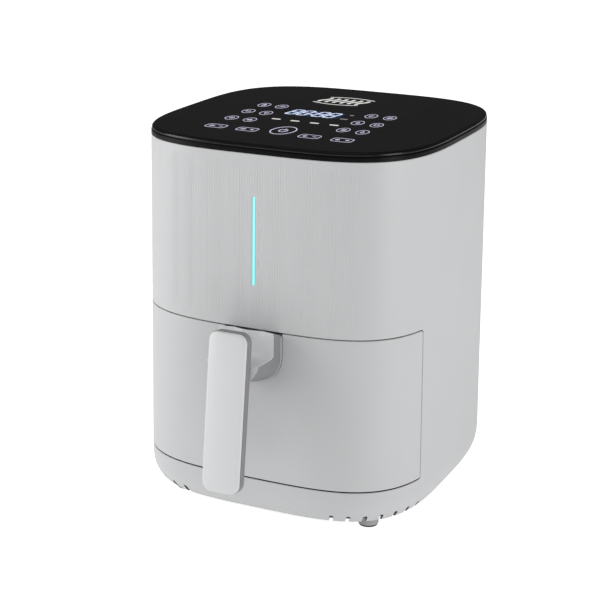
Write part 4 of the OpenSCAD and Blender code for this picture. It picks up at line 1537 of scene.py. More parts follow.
class Glyph(Enum):
    """Marks printed inside the keys, as strokes in a square from -1 to 1."""

    FRIES = (((-0.6, -0.1), (-0.4, -0.8), (0.4, -0.8), (0.6, -0.1), (-0.6, -0.1)), ((-0.3, -0.1), (-0.4, 0.7)),
             ((0.0, -0.1), (0.0, 0.85)), ((0.3, -0.1), (0.4, 0.7)))
    LEG = (((-0.7, -0.7), (-0.2, -0.2), (-0.1, 0.5), (0.4, 0.75), (0.75, 0.4), (0.5, -0.1), (-0.2, -0.2)),)
    FISH = (((-0.8, 0.4), (-0.3, 0.0), (0.2, 0.45), (0.8, 0.0), (0.2, -0.45), (-0.3, 0.0), (-0.8, -0.4), (-0.8, 0.4)),)
    SLICE = (((0.0, -0.8), (-0.7, 0.5), (0.7, 0.5), (0.0, -0.8)), ((-0.25, 0.15), (-0.1, 0.15)),
             ((0.15, -0.1), (0.25, 0.0)))
    STEAK = (((-0.7, 0.0), (-0.4, 0.6), (0.4, 0.6), (0.7, 0.1), (0.3, -0.2), (0.2, -0.6), (-0.4, -0.5), (-0.7, 0.0)),
             ((-0.2, 0.15), (0.1, 0.25)))
    CAKE = (((-0.7, -0.6), (0.7, -0.6), (0.7, 0.1), (-0.7, 0.1), (-0.7, -0.6)), ((-0.7, -0.25), (0.7, -0.25)),
            ((0.0, 0.1), (0.0, 0.7)))
    PRAWN = (((0.7, 0.5), (0.1, 0.6), (-0.5, 0.3), (-0.6, -0.3), (-0.1, -0.7), (0.4, -0.5)), ((-0.1, 0.1), (0.3, 0.2)))
    LEAF = (((-0.7, -0.6), (-0.5, 0.2), (0.1, 0.6), (0.7, 0.6), (0.6, -0.1), (0.1, -0.5), (-0.7, -0.6)),
            ((-0.7, -0.6), (0.4, 0.3)))
    EGG = (((0.0, -0.7), (-0.5, -0.3), (-0.4, 0.3), (0.0, 0.7), (0.4, 0.3), (0.5, -0.3), (0.0, -0.7)),
           ((-0.15, 0.0), (0.15, 0.0)))
    BREAD = (((-0.6, -0.6), (0.6, -0.6), (0.6, 0.1), (0.75, 0.4), (0.4, 0.65), (-0.4, 0.65), (-0.75, 0.4),
              (-0.6, 0.1), (-0.6, -0.6)),)
    WARM = (((-0.5, -0.7), (-0.25, -0.2), (-0.55, 0.2), (-0.3, 0.7)),
            ((0.0, -0.7), (0.25, -0.2), (-0.05, 0.2), (0.2, 0.7)),
            ((0.5, -0.7), (0.75, -0.2), (0.45, 0.2), (0.7, 0.7)))
    DROP = (((0.0, 0.8), (-0.5, -0.1), (-0.3, -0.6), (0.3, -0.6), (0.5, -0.1), (0.0, 0.8)),
            ((-0.15, -0.3), (0.1, -0.35)))
    POWER = (((-0.34, 0.5), (-0.62, 0.2), (-0.62, -0.3), (-0.3, -0.64), (0.3, -0.64), (0.62, -0.3), (0.62, 0.2),
              (0.34, 0.5)),
             ((0.0, 0.15), (0.0, 0.8)))
    MINUS = (((-0.35, 0.0), (0.35, 0.0)),)
    PLUS = (((-0.35, 0.0), (0.35, 0.0)), ((0.0, -0.35), (0.0, 0.35)))


@dataclass
class PanelPrint:
    """Keys, digits, lamps and marks on the panel, as thin raised print."""

    outline: Outline
    height: float = 0.14 * MM
    line: float = 0.55 * MM
    key_r: float = 5.2 * MM
    power_r: float = 10.0 * MM
    tall: float = 1.58
    lean: float = 0.16
    keys: dict[Glyph, tuple[float, float]] = field(default_factory=lambda: {
        Glyph.FRIES: (-68.0, 22.0), Glyph.LEG: (-50.5, 22.0), Glyph.FISH: (-67.6, -10.5), Glyph.SLICE: (-50.0, -11.0),
        Glyph.STEAK: (-67.0, -43.7), Glyph.CAKE: (-49.0, -44.3), Glyph.PRAWN: (38.3, 18.0), Glyph.LEAF: (56.0, 17.7),
        Glyph.EGG: (39.3, -14.3), Glyph.BREAD: (57.5, -15.9), Glyph.WARM: (40.3, -47.5), Glyph.DROP: (58.3, -48.8),
    })
    steppers: tuple[tuple[float, float, Glyph], ...] = (
        (-62.5, -80.9, Glyph.MINUS), (-32.6, -81.8, Glyph.PLUS), (26.1, -84.2, Glyph.MINUS), (55.9, -85.1, Glyph.PLUS),
    )
    power: tuple[float, float] = (-3.5, -72.3)
    lamps: tuple[tuple[float, float], ...] = ((-30.4, -31.0), (-12.2, -31.4), (6.6, -32.3), (25.2, -32.7))
    z: float = field(init=False)

    def __post_init__(self) -> None:
        """Takes the panel's face from the frame."""
        self.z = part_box("top_panel")[1][2] - 0.02 * MM

    def at(self, x: float, y: float) -> np.ndarray:
        """A place on the panel."""
        return np.array([x * MM, self.outline.middle_y + y * MM])

    def stroke(
        self, shape: Shape, points: Points, centre: np.ndarray, size: float, width: float,
        closed: bool = False,
    ) -> None:
        """Adds one printed stroke."""
        shape.ribbon(centre + np.asarray(points) * size, width, self.z, self.z + self.height, closed)

    def circle(self, count: int = 36) -> np.ndarray:
        """A circle of radius one."""
        turn = np.linspace(0, 2 * math.pi, count + 1)[:-1]
        return np.stack([np.cos(turn), np.sin(turn)], axis=1)

    def key_marks(self) -> Piece:
        """Makes the round keys with their marks and the four stepper keys.

        Returns:
            The piece.
        """
        shape, oval = Shape(), (1.0, self.tall)
        for glyph, (x, y) in self.keys.items():
            centre = self.at(x, y)
            self.stroke(shape, self.circle() * oval, centre, self.key_r, self.line, closed=True)
            for part in glyph.value:
                self.stroke(shape, np.asarray(part) * oval, centre, self.key_r * 0.56, self.line)
        for x, y, glyph in self.steppers:
            centre = self.at(x, y)
            frame_line = rounded_ring(18.0 * MM, 12.6 * MM, 3.2 * MM, 6)
            self.stroke(shape, frame_line, centre, 1.0, self.line, closed=True)
            for part in glyph.value:
                self.stroke(shape, part, centre + (4.4 * MM, 0.0), 5.2 * MM, self.line * 1.6)
            for part in (Glyph.WARM if x < 0 else Glyph.EGG).value:
                self.stroke(shape, part, centre - (4.2 * MM, 0.0), 3.2 * MM, self.line)
        return show(shape, "key_marks", KEY_PRINT, Body.HOUSING)

    def power_key(self) -> Piece:
        """Makes the large power key.

        Returns:
            The piece.
        """
        shape, oval = Shape(), (1.0, self.tall)
        centre = self.at(*self.power)
        self.stroke(shape, self.circle(56) * oval, centre, self.power_r, self.line * 1.6, closed=True)
        for part in Glyph.POWER.value:
            self.stroke(shape, np.asarray(part) * oval, centre, self.power_r * 0.52, self.line * 1.7)
        return show(shape, "power_key", KEY_PRINT, Body.HOUSING)

    def segment(self, shape: Shape, start: np.ndarray, end: np.ndarray, width: float) -> None:
        """Adds one segment of a digit, pointed at both ends.

        Args:
            shape: the shape to add to.
            start: its first end.
            end: its second end.
            width: its width.
        """
        way = (end - start) / np.linalg.norm(end - start)
        side = np.array([-way[1], way[0]]) * width / 2
        tip = way * width / 2
        outline = [start, start + tip - side, end - tip - side, end, end - tip + side, start + tip + side]
        shape.prism(outline, self.z, self.z + self.height)

    def digits(self) -> Piece:
        """Makes four digits with a colon between them, leaning a little.

        Returns:
            The piece.
        """
        shape = Shape()
        wide, tall, stroke = 7.4 * MM, 21.0 * MM, 1.55 * MM
        gap = 0.25 * MM
        left = self.at(-33.0, 5.0)
        for x in (0.0, 10.7, 25.3, 36.0):
            corners = {
                (i, j): left + (x * MM + i * wide + (j - 1) * tall / 2 * self.lean, (j - 1) * tall / 2)
                for i in (0, 1) for j in (0, 1, 2)
            }
            for j in (0, 1, 2):
                self.segment(shape, corners[0, j] + (gap, 0), corners[1, j] - (gap, 0), stroke)
            for i in (0, 1):
                for j in (0, 1):
                    self.segment(shape, corners[i, j] + (0, gap), corners[i, j + 1] - (0, gap), stroke)
        for y in (-4.4, 4.4):
            centre = left + (22.0 * MM + y * MM * self.lean, y * MM)
            shape.prism(centre + self.circle(20) * 1.3 * MM, self.z, self.z + self.height)
        glass = Shape()
        glow = rounded_ring(50.0 * MM, 25.0 * MM, 4.0 * MM, 6)
        glass.prism(self.at(-10.0, 5.0) + glow, self.z, self.z + 0.4 * self.height)
        show(glass, "display_window", GLASS_GLOW, Body.HOUSING)
        return show(shape, "display_digits", DIGIT_LIGHT, Body.HOUSING)

    def lamps_and_marks(self) -> list[Piece]:
        """Makes the four lit lamps, a dim one, the degree mark and the hot air mark.

        Returns:
            The pieces.
        """
        lit, dim, mark = Shape(), Shape(), Shape()
        for x, y in self.lamps:
            lit.prism(self.at(x, y) + rounded_ring(8.0 * MM, 3.2 * MM, 0.7 * MM, 3), self.z, self.z + self.height)
        dim.prism(self.at(22.1, -5.1) + rounded_ring(7.0 * MM, 2.4 * MM, 0.5 * MM, 3), self.z, self.z + self.height)
        self.stroke(dim, self.circle(20), self.at(21.9, 13.4), 1.5 * MM, 0.7 * MM, closed=True)
        middle = self.at(-11.0, 71.0)
        along = np.linspace(-1, 1, 25)
        for i in range(6):
            curl = np.stack([along * 2.6 + 1.5 * np.sin(along * math.pi) + (i - 2.5) * 7.4, along * 10.0], axis=1)
            mark.ribbon(middle + curl * MM, 3.0 * MM, self.z, self.z + self.height)
        for side in (-1, 1):
            arc = np.stack([along * 22 + side * 3.0, side * (18.0 - 5.0 * along**2)], axis=1)
            mark.ribbon(middle + arc * MM, 1.5 * MM, self.z, self.z + self.height)
        return [
            show(lit, "panel_lamps", WHITE_PRINT, Body.HOUSING),
            show(dim, "panel_dim_marks", DIM_PRINT, Body.HOUSING),
            show(mark, "hot_air_mark", WHITE_PRINT, Body.HOUSING),
        ]

    def build(self) -> None:
        """Makes all the print."""
        self.key_marks()
        self.power_key()
        self.digits()
        self.lamps_and_marks()


@dataclass
class LightStrip:
    """Lit strip in the middle of the front, with round ends."""

    shell: HousingShell
    gap: float = 0.12 * MM
    proud: float = 0.15 * MM

    def place(self, where: np.ndarray, depth: np.ndarray | float = 0.0) -> np.ndarray:
        """Points of the strip, crowned a little across its width."""
        crown = self.proud * (1 - (where[:, 0] / self.shell.slot_half) ** 2)
        return self.shell.outline.place(where, np.asarray(depth) - crown)

    def build(self) -> Piece:
        """Makes the strip.

        Returns:
            The piece.
        """
        loop = Border(self.shell.slot(), 0.0).moved(-self.gap)[::-1]
        skin = Skin(self.place, 3.4 * MM, [Border(loop, 0.3 * MM)])
        middle = grid_of(np.array([-0.6, 0.0, 0.6]) * MM, np.arange(217, 289, 4) * MM)
        return show(skin.build(middle, middle), "light_strip_lens", STRIP_LIGHT, Body.HOUSING, ["light_strip"])


@dataclass
class Feet:
    """Four round feet: a light moulded sleeve on a dark rubber pad."""

    radius: float = 8.8 * MM
    pad: float = 1.7 * MM
    stem: float = 3.0 * MM
    stem_rise: float = 2.4 * MM

    def part(self, name: str, finish: Finish, profile: Sequence[tuple[float, float]]) -> Piece:
        """Makes one part of all four feet.

        Args:
            name: the piece's name.
            finish: its finish.
            profile: radius and height of its section, in millimetres.

        Returns:
            The piece.
        """
        low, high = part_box("feet")
        shape = Shape()
        for x in (low[0] + self.radius, high[0] - self.radius):
            for y in (low[1] + self.radius, high[1] - self.radius):
                shape.lathe([(a * MM, b * MM) for a, b in profile], (x, y, low[2]), 48)
        return show(shape, name, finish, Body.HOUSING, ["feet"])

    def build(self) -> list[Piece]:
        """Makes the pads and the sleeves.

        Returns:
            The pieces.
        """
        low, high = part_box("feet")
        r, pad = self.radius / MM, self.pad / MM
        stem, rise = self.stem / MM, (high[2] - low[2] - self.stem_rise) / MM
        rubber = [(0, 0.35), (r - 3.2, 0.35), (r - 2.8, 0.0), (r - 1.4, 0.0), (r - 0.8, 0.25), (r - 0.5, 0.8),
                  (r - 0.5, pad), (0, pad)]
        sleeve = [(0, pad), (r - 0.45, pad), (r - 0.1, pad + 0.2), (r, pad + 0.6), (r, rise), (stem, rise),
                  (stem, rise + self.stem_rise / MM), (0, rise + self.stem_rise / MM)]
        return [
            self.part("foot_pads", PAD_RUBBER, rubber),
            self.part("foot_sleeves", FOOT_RUBBER, sleeve),
        ]


# ---------------------------------------------------------------- drawer


@dataclass
class DrawerSkin:
    """Curved front of the drawer, with the cut-out for the neck and its two decks."""

    shell: HousingShell
    gap: float = 0.8 * MM
    low_gap: float = 1.2 * MM
    thickness: float = 2.6 * MM
    corner: float = 2.4 * MM
    rounding: float = 0.5 * MM
    neck_gap: float = 0.35 * MM
    core_r: float = 39.0 * MM
    mouth_r: float = 1.0 * MM

    def neck_line(self, neck: "Neck") -> np.ndarray:
        """The cut-out, from its upper right down and round to its upper left.

        Args:
            neck: the neck that it goes round.

        Returns:
            Its line of lengths and heights.
        """
        half, r = neck.half + self.neck_gap, neck.radius + self.neck_gap
        bottom = neck.low - self.neck_gap
        turn = np.linspace(0, math.pi / 2, 13)
        right = np.stack([half - r + r * np.cos(turn), bottom + r - r * np.sin(turn)], axis=1)
        return np.concatenate([right, right[::-1] * (-1, 1)])

    def build(self, neck: "Neck") -> Piece:
        """Makes the front.

        Args:
            neck: the neck that it goes round.

        Returns:
            The piece.
        """
        outline = self.shell.outline
        low, high = self.shell.seam_low + self.low_gap, self.shell.seam_high - self.gap
        y, r = self.shell.seam_y + self.gap, self.corner
        reach_low = float(outline.u_at_y(y, np.array([low]))[0])
        reach_high = float(outline.u_at_y(y, np.array([high]))[0])
        side_z = np.arange(low + r, high - r, PITCH)
        side = np.stack([outline.u_at_y(y, side_z), side_z], axis=1)
        low_right, high_right = corner_arcs((reach_low, low), (reach_high, high), r)
        cut = self.neck_line(neck)
        lip = self.mouth_r
        turn_in = np.linspace(0, math.pi / 2, 5)
        mouth = np.stack([cut[0, 0] + lip - lip * np.sin(turn_in), high - lip + lip * np.cos(turn_in)], axis=1)
        top_right = np.stack([np.linspace(reach_high - r, cut[0, 0] + lip, 40), np.full(40, high)], axis=1)
        right = np.concatenate([low_right, side[1:], high_right[:-1], top_right[:-1], mouth, cut[: len(cut) // 2]])
        bottom = np.linspace(-reach_low + r, reach_low - r, 120)[1:-1]
        loop = np.concatenate([np.stack([bottom, np.full(len(bottom), low)], axis=1), right, right[::-1] * (-1, 1)])
        loop = resample(self.shell.tidy(loop), PITCH)
        skin = Skin(outline.place, self.thickness, [Border(loop, self.rounding)])
        across = np.linspace(-reach_low, reach_low, 130)
        rows = np.concatenate([np.arange(low, low + 12 * MM, 2.4 * MM), np.arange(low + 14 * MM, high, 5 * MM)])
        shape = skin.build(grid_of(across, rows), grid_of(across[::2], rows[::2]))
        self.deck(shape, low + 0.4 * MM)
        self.deck(shape, high - self.thickness - 0.4 * MM, neck)
        return show(shape, "drawer_skin", HOUSING_GREY, Body.DRAWER, ["drawer_front"])

    def deck(self, shape: Shape, z: float, neck: "Neck | None" = None) -> None:
        """Adds a flat web behind the front, as far as the inner front.

        Args:
            shape: the shape to add to.
            z: the height of its underside.
            neck: the neck that it makes room for.
        """
        outline = self.shell.outline
        low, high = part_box("drawer_inner_front")
        half, front = high[0], low[1] - outline.middle_y
        y_end = -(self.shell.seam_y + self.gap)
        turns = outline.turn_of(np.linspace(-1, 1, 121) * float(outline.u_at_y(-y_end, np.array([z]))[0]))
        outer = outline.rim(turns, np.full(turns.shape, z), self.thickness - 0.6 * MM)[:, :2]
        arc = np.linspace(0, math.pi / 2, 15)
        right = np.stack([half - self.core_r + self.core_r * np.cos(arc),
                          front + self.core_r - self.core_r * np.sin(arc)], axis=1)
        inner = np.concatenate([[(half, y_end)], right, right[::-1] * (-1, 1), [(-half, y_end)]])
        inner[:, 1] += outline.middle_y
        inner = resample(inner, 6 * MM, closed=False)[::-1]
        spread = np.linspace(0, len(inner) - 1, len(outer))
        inner = np.stack([np.interp(spread, np.arange(len(inner)), inner[:, k]) for k in (0, 1)], axis=1)
        halves = [slice(0, len(outer))]
        if neck:
            reach = neck.half + self.neck_gap
            clear = [i for i in range(len(outer)) if abs(outer[i, 0]) > reach and abs(inner[i, 0]) > reach]
            split = next(k for k in range(1, len(clear)) if clear[k] - clear[k - 1] > 1)
            halves = [slice(clear[0], clear[split - 1] + 1), slice(clear[split], clear[-1] + 1)]
        for part in halves:
            rows = []
            for line, height in ((outer, z), (outer, z + self.thickness), (inner, z + self.thickness), (inner, z)):
                rows.append(np.column_stack([line[part], np.full(len(line[part]), height)]))
            shape.bar(rows)


@dataclass
class Neck:
    """Shield on the drawer's front that sweeps forward into the arm carrying the grip."""

    outline: Outline
    half: float = 25.9 * MM
    low: float = 132.9 * MM
    high: float = 176.2 * MM
    lip: float = 4.3 * MM
    radius: float = 23.4 * MM
    wall: float = 136.3 * MM
    face: float = 148.5 * MM
    end: float = 174.0 * MM
    arm_top: float = 159.6 * MM
    sweep: float = 3.8 * MM
    gap: float = 1.0 * MM
    edge: float = 1.2 * MM
    scoop_x: float = 13.5 * MM
    scoop_half: float = 10.0 * MM
    scoop_h: float = 5.0 * MM
    scoop_in: float = 2.4 * MM

    def spine(self) -> list[tuple[float, float]]:
        """Distance in front of the middle and height of the upper surface, from back to front.

        Returns:
            The points.
        """
        back = -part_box("handle_neck")[1][1] + self.outline.middle_y
        top = self.high + self.lip
        points = [(back, self.high - self.gap), (self.wall, self.high - self.gap)]
        for k in range(0, 5):
            turn = math.pi / 2 * k / 4
            points.append((self.face - self.edge * (1 - math.sin(turn)), top - self.edge * (1 - math.cos(turn))))
        r = self.sweep
        for k in range(1, 6):
            points.append((self.face + 0.04 * MM * k, top - self.edge - (top - self.edge - self.arm_top - r) * k / 5))
        for k in range(1, 9):
            turn = math.pi / 2 * k / 8
            points.append((self.face + 0.25 * MM + r * (1 - math.cos(turn)), self.arm_top + r * (1 - math.sin(turn))))
        points += [(y * MM, self.arm_top) for y in (156.0, 160.0, 164.0, 168.0, 170.5)]
        return points

    def along(self, y: float, values: Sequence[float]) -> float:
        """Reads a size that changes from the drawer's face over the shield's face to the arm's end."""
        return float(np.interp(y, (self.wall, self.face, self.end), values))

    def section(self, y: float, top: float) -> np.ndarray:
        """Loop round the neck at a distance in front of the middle.

        Args:
            y: the distance.
            top: the height of its upper side.

        Returns:
            The loop.
        """
        half = self.along(y, (self.half, self.half - 0.6 * MM, self.half - 2.4 * MM))
        low = self.along(y, (self.low, self.low + 3.3 * MM, self.low + 14.0 * MM))
        r = self.along(y, (self.radius, self.radius - 2.0 * MM, 4.0 * MM))
        slant = self.along(y, (0.0, 0.0, 0.5))
        tall = min(r, top - low - self.edge)
        edge = self.edge
        points = [(x * (half - edge), top) for x in np.linspace(-1, 1, 41)]
        for k in range(1, 5):
            turn = math.pi / 2 * k / 4
            points.append((half - edge * (1 - math.sin(turn)), top - edge * (1 - math.cos(turn))))
        for k in range(21):
            turn = math.pi / 2 * k / 20
            z = low + tall * (1 - math.sin(turn))
            points.append((half - r + r * math.cos(turn) - slant * (top - z), z))
        left = [(-x, z) for x, z in reversed(points[41:])]
        return np.array([(x, self.outline.middle_y - y, z) for x, z in points + left])

    def scooped(self, row: np.ndarray) -> np.ndarray:
        """Presses two shallow V scoops into the top of the shield's face.

        Args:
            row: one loop.

        Returns:
            The pressed loop.
        """
        off = 1 - np.abs(np.abs(row[:, 0]) - self.scoop_x) / self.scoop_half
        up = 1 - (self.high + self.lip - row[:, 2]) / self.scoop_h
        near = row[:, 1] < self.outline.middle_y - self.face + 4 * MM
        share = np.clip(np.minimum(off, up), 0, 1) * near
        moved = row.copy()
        moved[:, 1] += self.scoop_in * share
        return moved

    def build(self, grip: "Grip") -> list[Piece]:
        """Makes the neck: its upper face in a lightened grey, painted light where the grip shades it, and its side
        walls and underside in a dark grey, painted shade.

        Args:
            grip: the grip that it ends at.

        Returns:
            The pieces.
        """
        rows = [self.section(y, top) for y, top in self.spine()]
        last = rows[-1].copy()
        for i, point in enumerate(last):
            last[i, 1] = grip.back_at(point[2]) - 0.3 * MM
        rows.append(last)
        rows = [self.scooped(row) for row in rows]
        shape = Shape()
        shape.loft(rows)
        piece = show(shape, "neck_sweep", NECK_GREY_PAINTED_LIGHT, Body.DRAWER, ["handle_neck"], crease=40.0)
        piece.data.materials.append(NECK_PAINTED_SHADE.material())
        # Faces turned to the sides or downwards take the dark copy: painted shade.
        for face in piece.data.polygons:
            if abs(face.normal.x) > 0.62 or face.normal.z < -0.5:
                face.material_index = 1
        return [piece, self.bead()]

    def bead(self) -> Piece:
        """Makes the fine bead round the foot of the shield.

        Returns:
            The piece.
        """
        shape = Shape()
        turn = np.linspace(0, math.pi / 2, 17)
        r = self.radius
        right = np.stack([self.half - r + r * np.cos(turn), self.low + r - r * np.sin(turn)], axis=1)
        path = np.concatenate([[(self.half, self.high - 2 * MM)], right, right[::-1] * (-1, 1),
                               [(-self.half, self.high - 2 * MM)]])
        depth = self.outline.halves(path[:, 1])[1]
        tube = np.stack([path[:, 0], self.outline.middle_y - depth - 0.3 * MM, path[:, 1]], axis=1)
        shape.tube(tube, 0.45 * MM, 8)
        # The bead takes the neck's lightened grey, painted light.
        return show(shape, "neck_bead", NECK_GREY_PAINTED_LIGHT, Body.DRAWER)


@dataclass
class Grip:
    """Grip with a glossy cover in front of a darker body, leaning a little."""

    outline: Outline
    width: float = 34.8 * MM
    height: float = 135.5 * MM
    corner: float = 8.5 * MM
    cover: float = 5.0 * MM
    body: float = 9.0 * MM
    lean: float = math.radians(7.0)
    reach: float = 199.8 * MM
    foot: float = 54.2 * MM
    crown: float = 2.6 * MM
    seam: float = 0.35 * MM

    def frame_point(self, x: np.ndarray, deep: np.ndarray, up: np.ndarray) -> np.ndarray:
        """Turns the grip's own coordinates into the frame's.

        Args:
            x: to the right.
            deep: backwards from its front face.
            up: along it from its foot.

        Returns:
            The points.
        """
        cos, sin = math.cos(self.lean), math.sin(self.lean)
        y = deep * cos + up * sin
        z = -deep * sin + up * cos
        return np.stack([x, self.outline.middle_y - self.reach + y, self.foot + z], axis=1)

    def back_at(self, z: float) -> float:
        """Where the back of the grip is at a height.

        Args:
            z: the height.

        Returns:
            Its Y in the frame.
        """
        up = (z - self.foot) / math.cos(self.lean)
        deep = np.array([self.cover + self.body])
        return float(self.frame_point(np.zeros(1), deep, np.array([up]))[0, 1])

    def place_front(self, where: np.ndarray, depth: np.ndarray | float = 0.0) -> np.ndarray:
        """Points of the cover from its crowned face.

        Args:
            where: rows of across and along.
            depth: how deep each lies.

        Returns:
            The points.
        """
        bow = self.crown * (where[:, 0] / (self.width / 2)) ** 2
        ends = 0.6 * MM * (np.abs(where[:, 1] - self.height / 2) / (self.height / 2)) ** 6
        share = 1 - np.clip(np.asarray(depth) / self.cover, 0, 1)
        deep = np.asarray(depth) + (bow + ends) * share
        return self.frame_point(where[:, 0], np.broadcast_to(deep, len(where)), where[:, 1])

    def place_back(self, where: np.ndarray, depth: np.ndarray | float = 0.0) -> np.ndarray:
        """Points of the body from its back face, mirrored so that it faces the housing."""
        deep = self.cover + self.body - np.broadcast_to(depth, len(where))
        return self.frame_point(-where[:, 0], deep, where[:, 1])

    def face_loop(self, inset: float) -> np.ndarray:
        """Rounded outline of the grip."""
        ring = rounded_ring(self.width - 2 * inset, self.height - 2 * inset, self.corner - inset, 12)
        return resample(ring + (0.0, self.height / 2), 3 * MM)

    def build(self) -> list[Piece]:
        """Makes the cover and the body.

        Returns:
            The pieces.
        """
        face = grid_of(np.linspace(-16, 16, 17) * MM, np.linspace(2, 133, 46) * MM)
        cover = Skin(
            self.place_front, self.cover - self.seam, [Border(self.face_loop(0.5 * MM), 1.7 * MM)],
            inner_rounding=0.3 * MM, steps=7,
        )
        body = Skin(
            self.place_back, self.body - 0.02 * MM, [Border(self.face_loop(0.0), 3.0 * MM)], inner_rounding=0.5 * MM,
            steps=7,
        )
        return [
            show(cover.build(face, face), "grip_cover", COVER_GLOSS, Body.DRAWER, ["handle_cover"]),
            show(body.build(face, face), "grip_body", GRIP_BACK, Body.DRAWER, ["handle_body"]),
        ]


@dataclass
class Pot:
    """Coated pot with rounded lower edges and a rolled rim."""

    corner: float = 34.0 * MM
    wall: float = 1.2 * MM
    foot_round: float = 7.0 * MM
    lip: float = 2.0 * MM

    def build(self) -> Piece:
        """Makes the pot.

        Returns:
            The piece.
        """
        low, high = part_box("pot")
        width = high[0] - low[0] - 2 * self.lip
        depth = high[1] - low[1]
        middle = np.array([(low[0] + high[0]) / 2, (low[1] + high[1]) / 2])
        z0, z1, r, t = low[2], high[2], self.foot_round, self.wall
        levels = []
        for inset in (90 * MM, 50 * MM):
            levels.append((inset, z0))
        for k in range(7):
            turn = math.pi / 2 * k / 6
            levels.append((r * (1 - math.sin(turn)), z0 + r * (1 - math.cos(turn))))
        roll = 0.9 * MM
        levels.append((0.0, z1 - 2.4 * roll))
        for k in range(9):
            turn = -math.pi / 2 + math.pi * k / 8
            levels.append((t / 2 - roll - roll * math.cos(turn), z1 - roll + roll * math.sin(turn)))
        levels.append((t, z1 - 1.2 * roll))
        for k in range(7):
            turn = math.pi / 2 * k / 6
            levels.append((t + (r - t) * (1 - math.cos(turn)), z0 + t + (r - t) * (1 - math.sin(turn))))
        for inset in (50 * MM, 90 * MM):
            levels.append((inset, z0 + t))
        rows = []
        for inset, z in levels:
            ring = rounded_ring(width - 2 * inset, depth - 2 * inset, max(self.corner - inset, 4 * MM), 12)
            rows.append(np.column_stack([ring + middle, np.full(len(ring), z)]))
        shape = Shape()
        shape.loft(rows)
        return show(shape, "coated_pot", NON_STICK, Body.DRAWER, ["pot"])


# ---------------------------------------------------------------- carried CAD nodes and small detail


@dataclass
class Internals:
    """Parts that keep their CAD shape: a finish, the width of their rounded edges and the nodes' names."""

    finishes: tuple[tuple[Finish, float, str], ...] = (
        (DARK_PLASTIC_AND_SHADE, 0.0, "bottom_cover cooling_fan"),
        (GROUND_STEEL, 0.0, "base_screws element_guard motor_screws"),
        (DARK_PLASTIC_AND_SHADE, 0.3 * MM, "chassis_ring board_tray slide_rails air_duct inlet_bush drawer_switch"),
        (BOARD_GREEN, 0.0, "led_board control_board"),
        (DISPLAY_DARK, 0.2 * MM, "display_module"),
        (SPRING_BRASS, 0.0, "touch_springs"),
        (BOARD_GREEN, 0.2 * MM, "power_board"),
        (SHEET_STEEL, 0.0, "chamber_liner heat_reflector plate_standoffs hot_air_fan"),
        (COIL_STEEL, 0.0, "heating_element"),
        (GROUND_STEEL, 0.2 * MM,
         "temperature_probe grille_screws fan_shaft fan_nut front_screws handle_screws"),
        (PHENOLIC, 0.2 * MM, "thermal_fuse"),
        (SHEET_STEEL, 0.2 * MM, "motor_plate"),
        (MOTOR_PAINT, 0.3 * MM, "fan_motor"),
        (BRONZE, 0.2 * MM, "motor_bushes"),
        (HOUSING_GREY, 0.4 * MM, "rear_outlet_grille"),
        (INNER_GREY, 0.0, "drawer_inner_front"),
        (NON_STICK, 0.35 * MM, "crisper_plate"),
        (SILICONE, 0.5 * MM, "tray_bumpers"),
    )

    def build(self) -> None:
        """Dresses the carried nodes."""
        for finish, bevel, names in self.finishes:
            for name in names.split():
                dress_node(name, finish, bevel)


# ---------------------------------------------------------------- studio


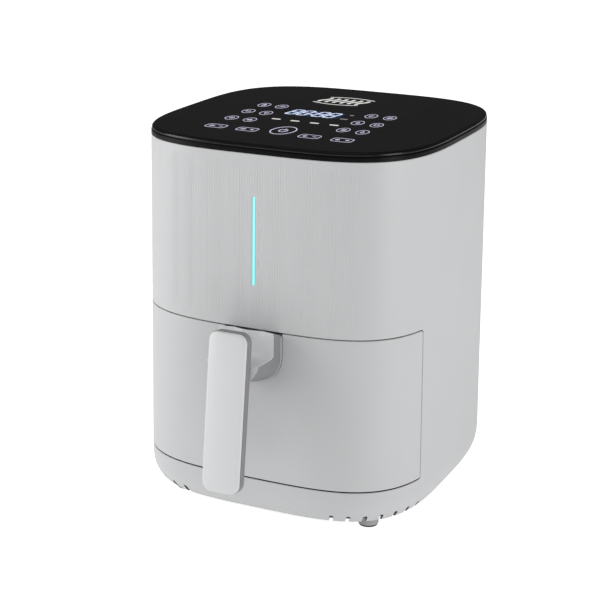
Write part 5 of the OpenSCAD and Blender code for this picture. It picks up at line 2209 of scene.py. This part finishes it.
@dataclass
class Studio:
    """Camera, floor and soft lights."""

    azimuth: float = math.radians(24.9792)
    elevation: float = math.radians(17.7422)
    roll: float = math.radians(0.5214)
    distance: float = 11.1736 * 0.130
    target: Point = (-0.158 * 0.130, 0.027199, 1.2 * 0.130 + 0.005)
    lens: float = 95.489

    def camera(self) -> None:
        """Adds the camera."""
        az, el, turn = self.azimuth, self.elevation, self.roll
        back = Vector((math.sin(az) * math.cos(el), -math.cos(az) * math.cos(el), math.sin(el)))
        right = Vector((math.cos(az), math.sin(az), 0.0))
        up = back.cross(right)
        side = right * math.cos(turn) + up * math.sin(turn)
        head = up * math.cos(turn) - right * math.sin(turn)
        data = bpy.data.cameras.new("camera")
        data.lens = self.lens
        data.sensor_width = 36.0
        data.clip_start = 0.05
        camera = bpy.data.objects.new("camera", data)
        bpy.context.scene.collection.objects.link(camera)
        turned = Matrix((side, head, back)).transposed().to_4x4()
        camera.matrix_world = Matrix.Translation(Vector(self.target) + back * self.distance) @ turned
        bpy.context.scene.camera = camera

    def light(self, name: str, place: Point, aim: Point, size: tuple[float, float], power: float) -> None:
        """Adds a soft light.

        Args:
            name: its name.
            place: where it stands.
            aim: what it points at.
            size: its width and height.
            power: its power in watts.
        """
        data = bpy.data.lights.new(name, "AREA")
        data.shape = "RECTANGLE"
        data.size, data.size_y = size
        data.energy = power
        light = bpy.data.objects.new(name, data)
        bpy.context.scene.collection.objects.link(light)
        light.location = place
        light.rotation_euler = (Vector(aim) - Vector(place)).to_track_quat("-Z", "Y").to_euler()

    def surroundings(self) -> None:
        """Makes the world: white where it's seen, grey where it lights and reflects."""
        world = bpy.data.worlds.new("studio_world")
        bpy.context.scene.world = world
        world.use_nodes = True
        world.node_tree.nodes.clear()
        t = Tree(world.node_tree)
        path = t.node("LightPath")
        lit = t.mix(path.outputs["Is Glossy Ray"], (0.372, 0.372, 0.376, 1.0), (0.05, 0.05, 0.05, 1.0))
        colour = t.mix(path.outputs["Is Camera Ray"], lit, (1.0, 1.0, 1.0, 1.0))
        background = t.node("Background", {"Color": colour, "Strength": 1.0})
        output = t.node("OutputWorld")
        t.tree.links.new(background.outputs[0], output.inputs[0])

    def floor(self) -> None:
        """Makes the pale floor."""
        mesh = bpy.data.meshes.new("studio_floor")
        half = 6.0
        mesh.from_pydata([(-half, -half, 0), (half, -half, 0), (half, half, 0), (-half, half, 0)], [], [(0, 1, 2, 3)])
        plane = bpy.data.objects.new("studio_floor", mesh)
        bpy.context.scene.collection.objects.link(plane)
        paint = bpy.data.materials.new("floor_white")
        paint.use_nodes = True
        t = Tree(paint.node_tree)
        shader = paint.node_tree.nodes["Principled BSDF"]
        seen = t.node("LightPath").outputs["Is Camera Ray"]
        glow = t.mix(seen, (0.41, 0.41, 0.41, 1.0), (0.92, 0.92, 0.92, 1.0))
        shader.inputs["Base Color"].default_value = (0.8, 0.8, 0.8, 1.0)
        shader.inputs["Roughness"].default_value = 0.9
        shader.inputs["Specular IOR Level"].default_value = 0.0
        shader.inputs["Emission Strength"].default_value = 1.0
        t.tree.links.new(glow, shader.inputs["Emission Color"])
        mesh.materials.append(paint)

    def build(self) -> None:
        """Makes the whole studio."""
        self.camera()
        self.surroundings()
        self.floor()
        middle = (0.0, 0.02, 0.17)
        self.light("left_panel", (-1.4, -0.8, 0.5), middle, (0.8, 1.6), 15.6)
        self.light("right_panel", (1.6, -0.4, 0.5), middle, (0.8, 1.6), 11.4)
        self.light("top_panel", (0.0, -0.5, 2.0), middle, (1.6, 1.6), 1.3)
        bpy.context.scene.view_settings.view_transform = "Standard"


def main() -> None:
    """Builds every sub-assembly in order, then the studio."""
    logging.basicConfig(level=logging.INFO, format="%(name)s: %(message)s")
    outline = Outline()
    shell = HousingShell(outline)
    shell.build()
    cap = TopCap(outline)
    cap.ring()
    cap.plate()
    PanelPrint(outline).build()
    LightStrip(shell).build()
    Feet().build()
    neck = Neck(outline)
    DrawerSkin(shell).build(neck)
    grip = Grip(outline)
    neck.build(grip)
    grip.build()
    Pot().build()
    Internals().build()
    Studio().build()


if __name__ == "__main__":
    main()
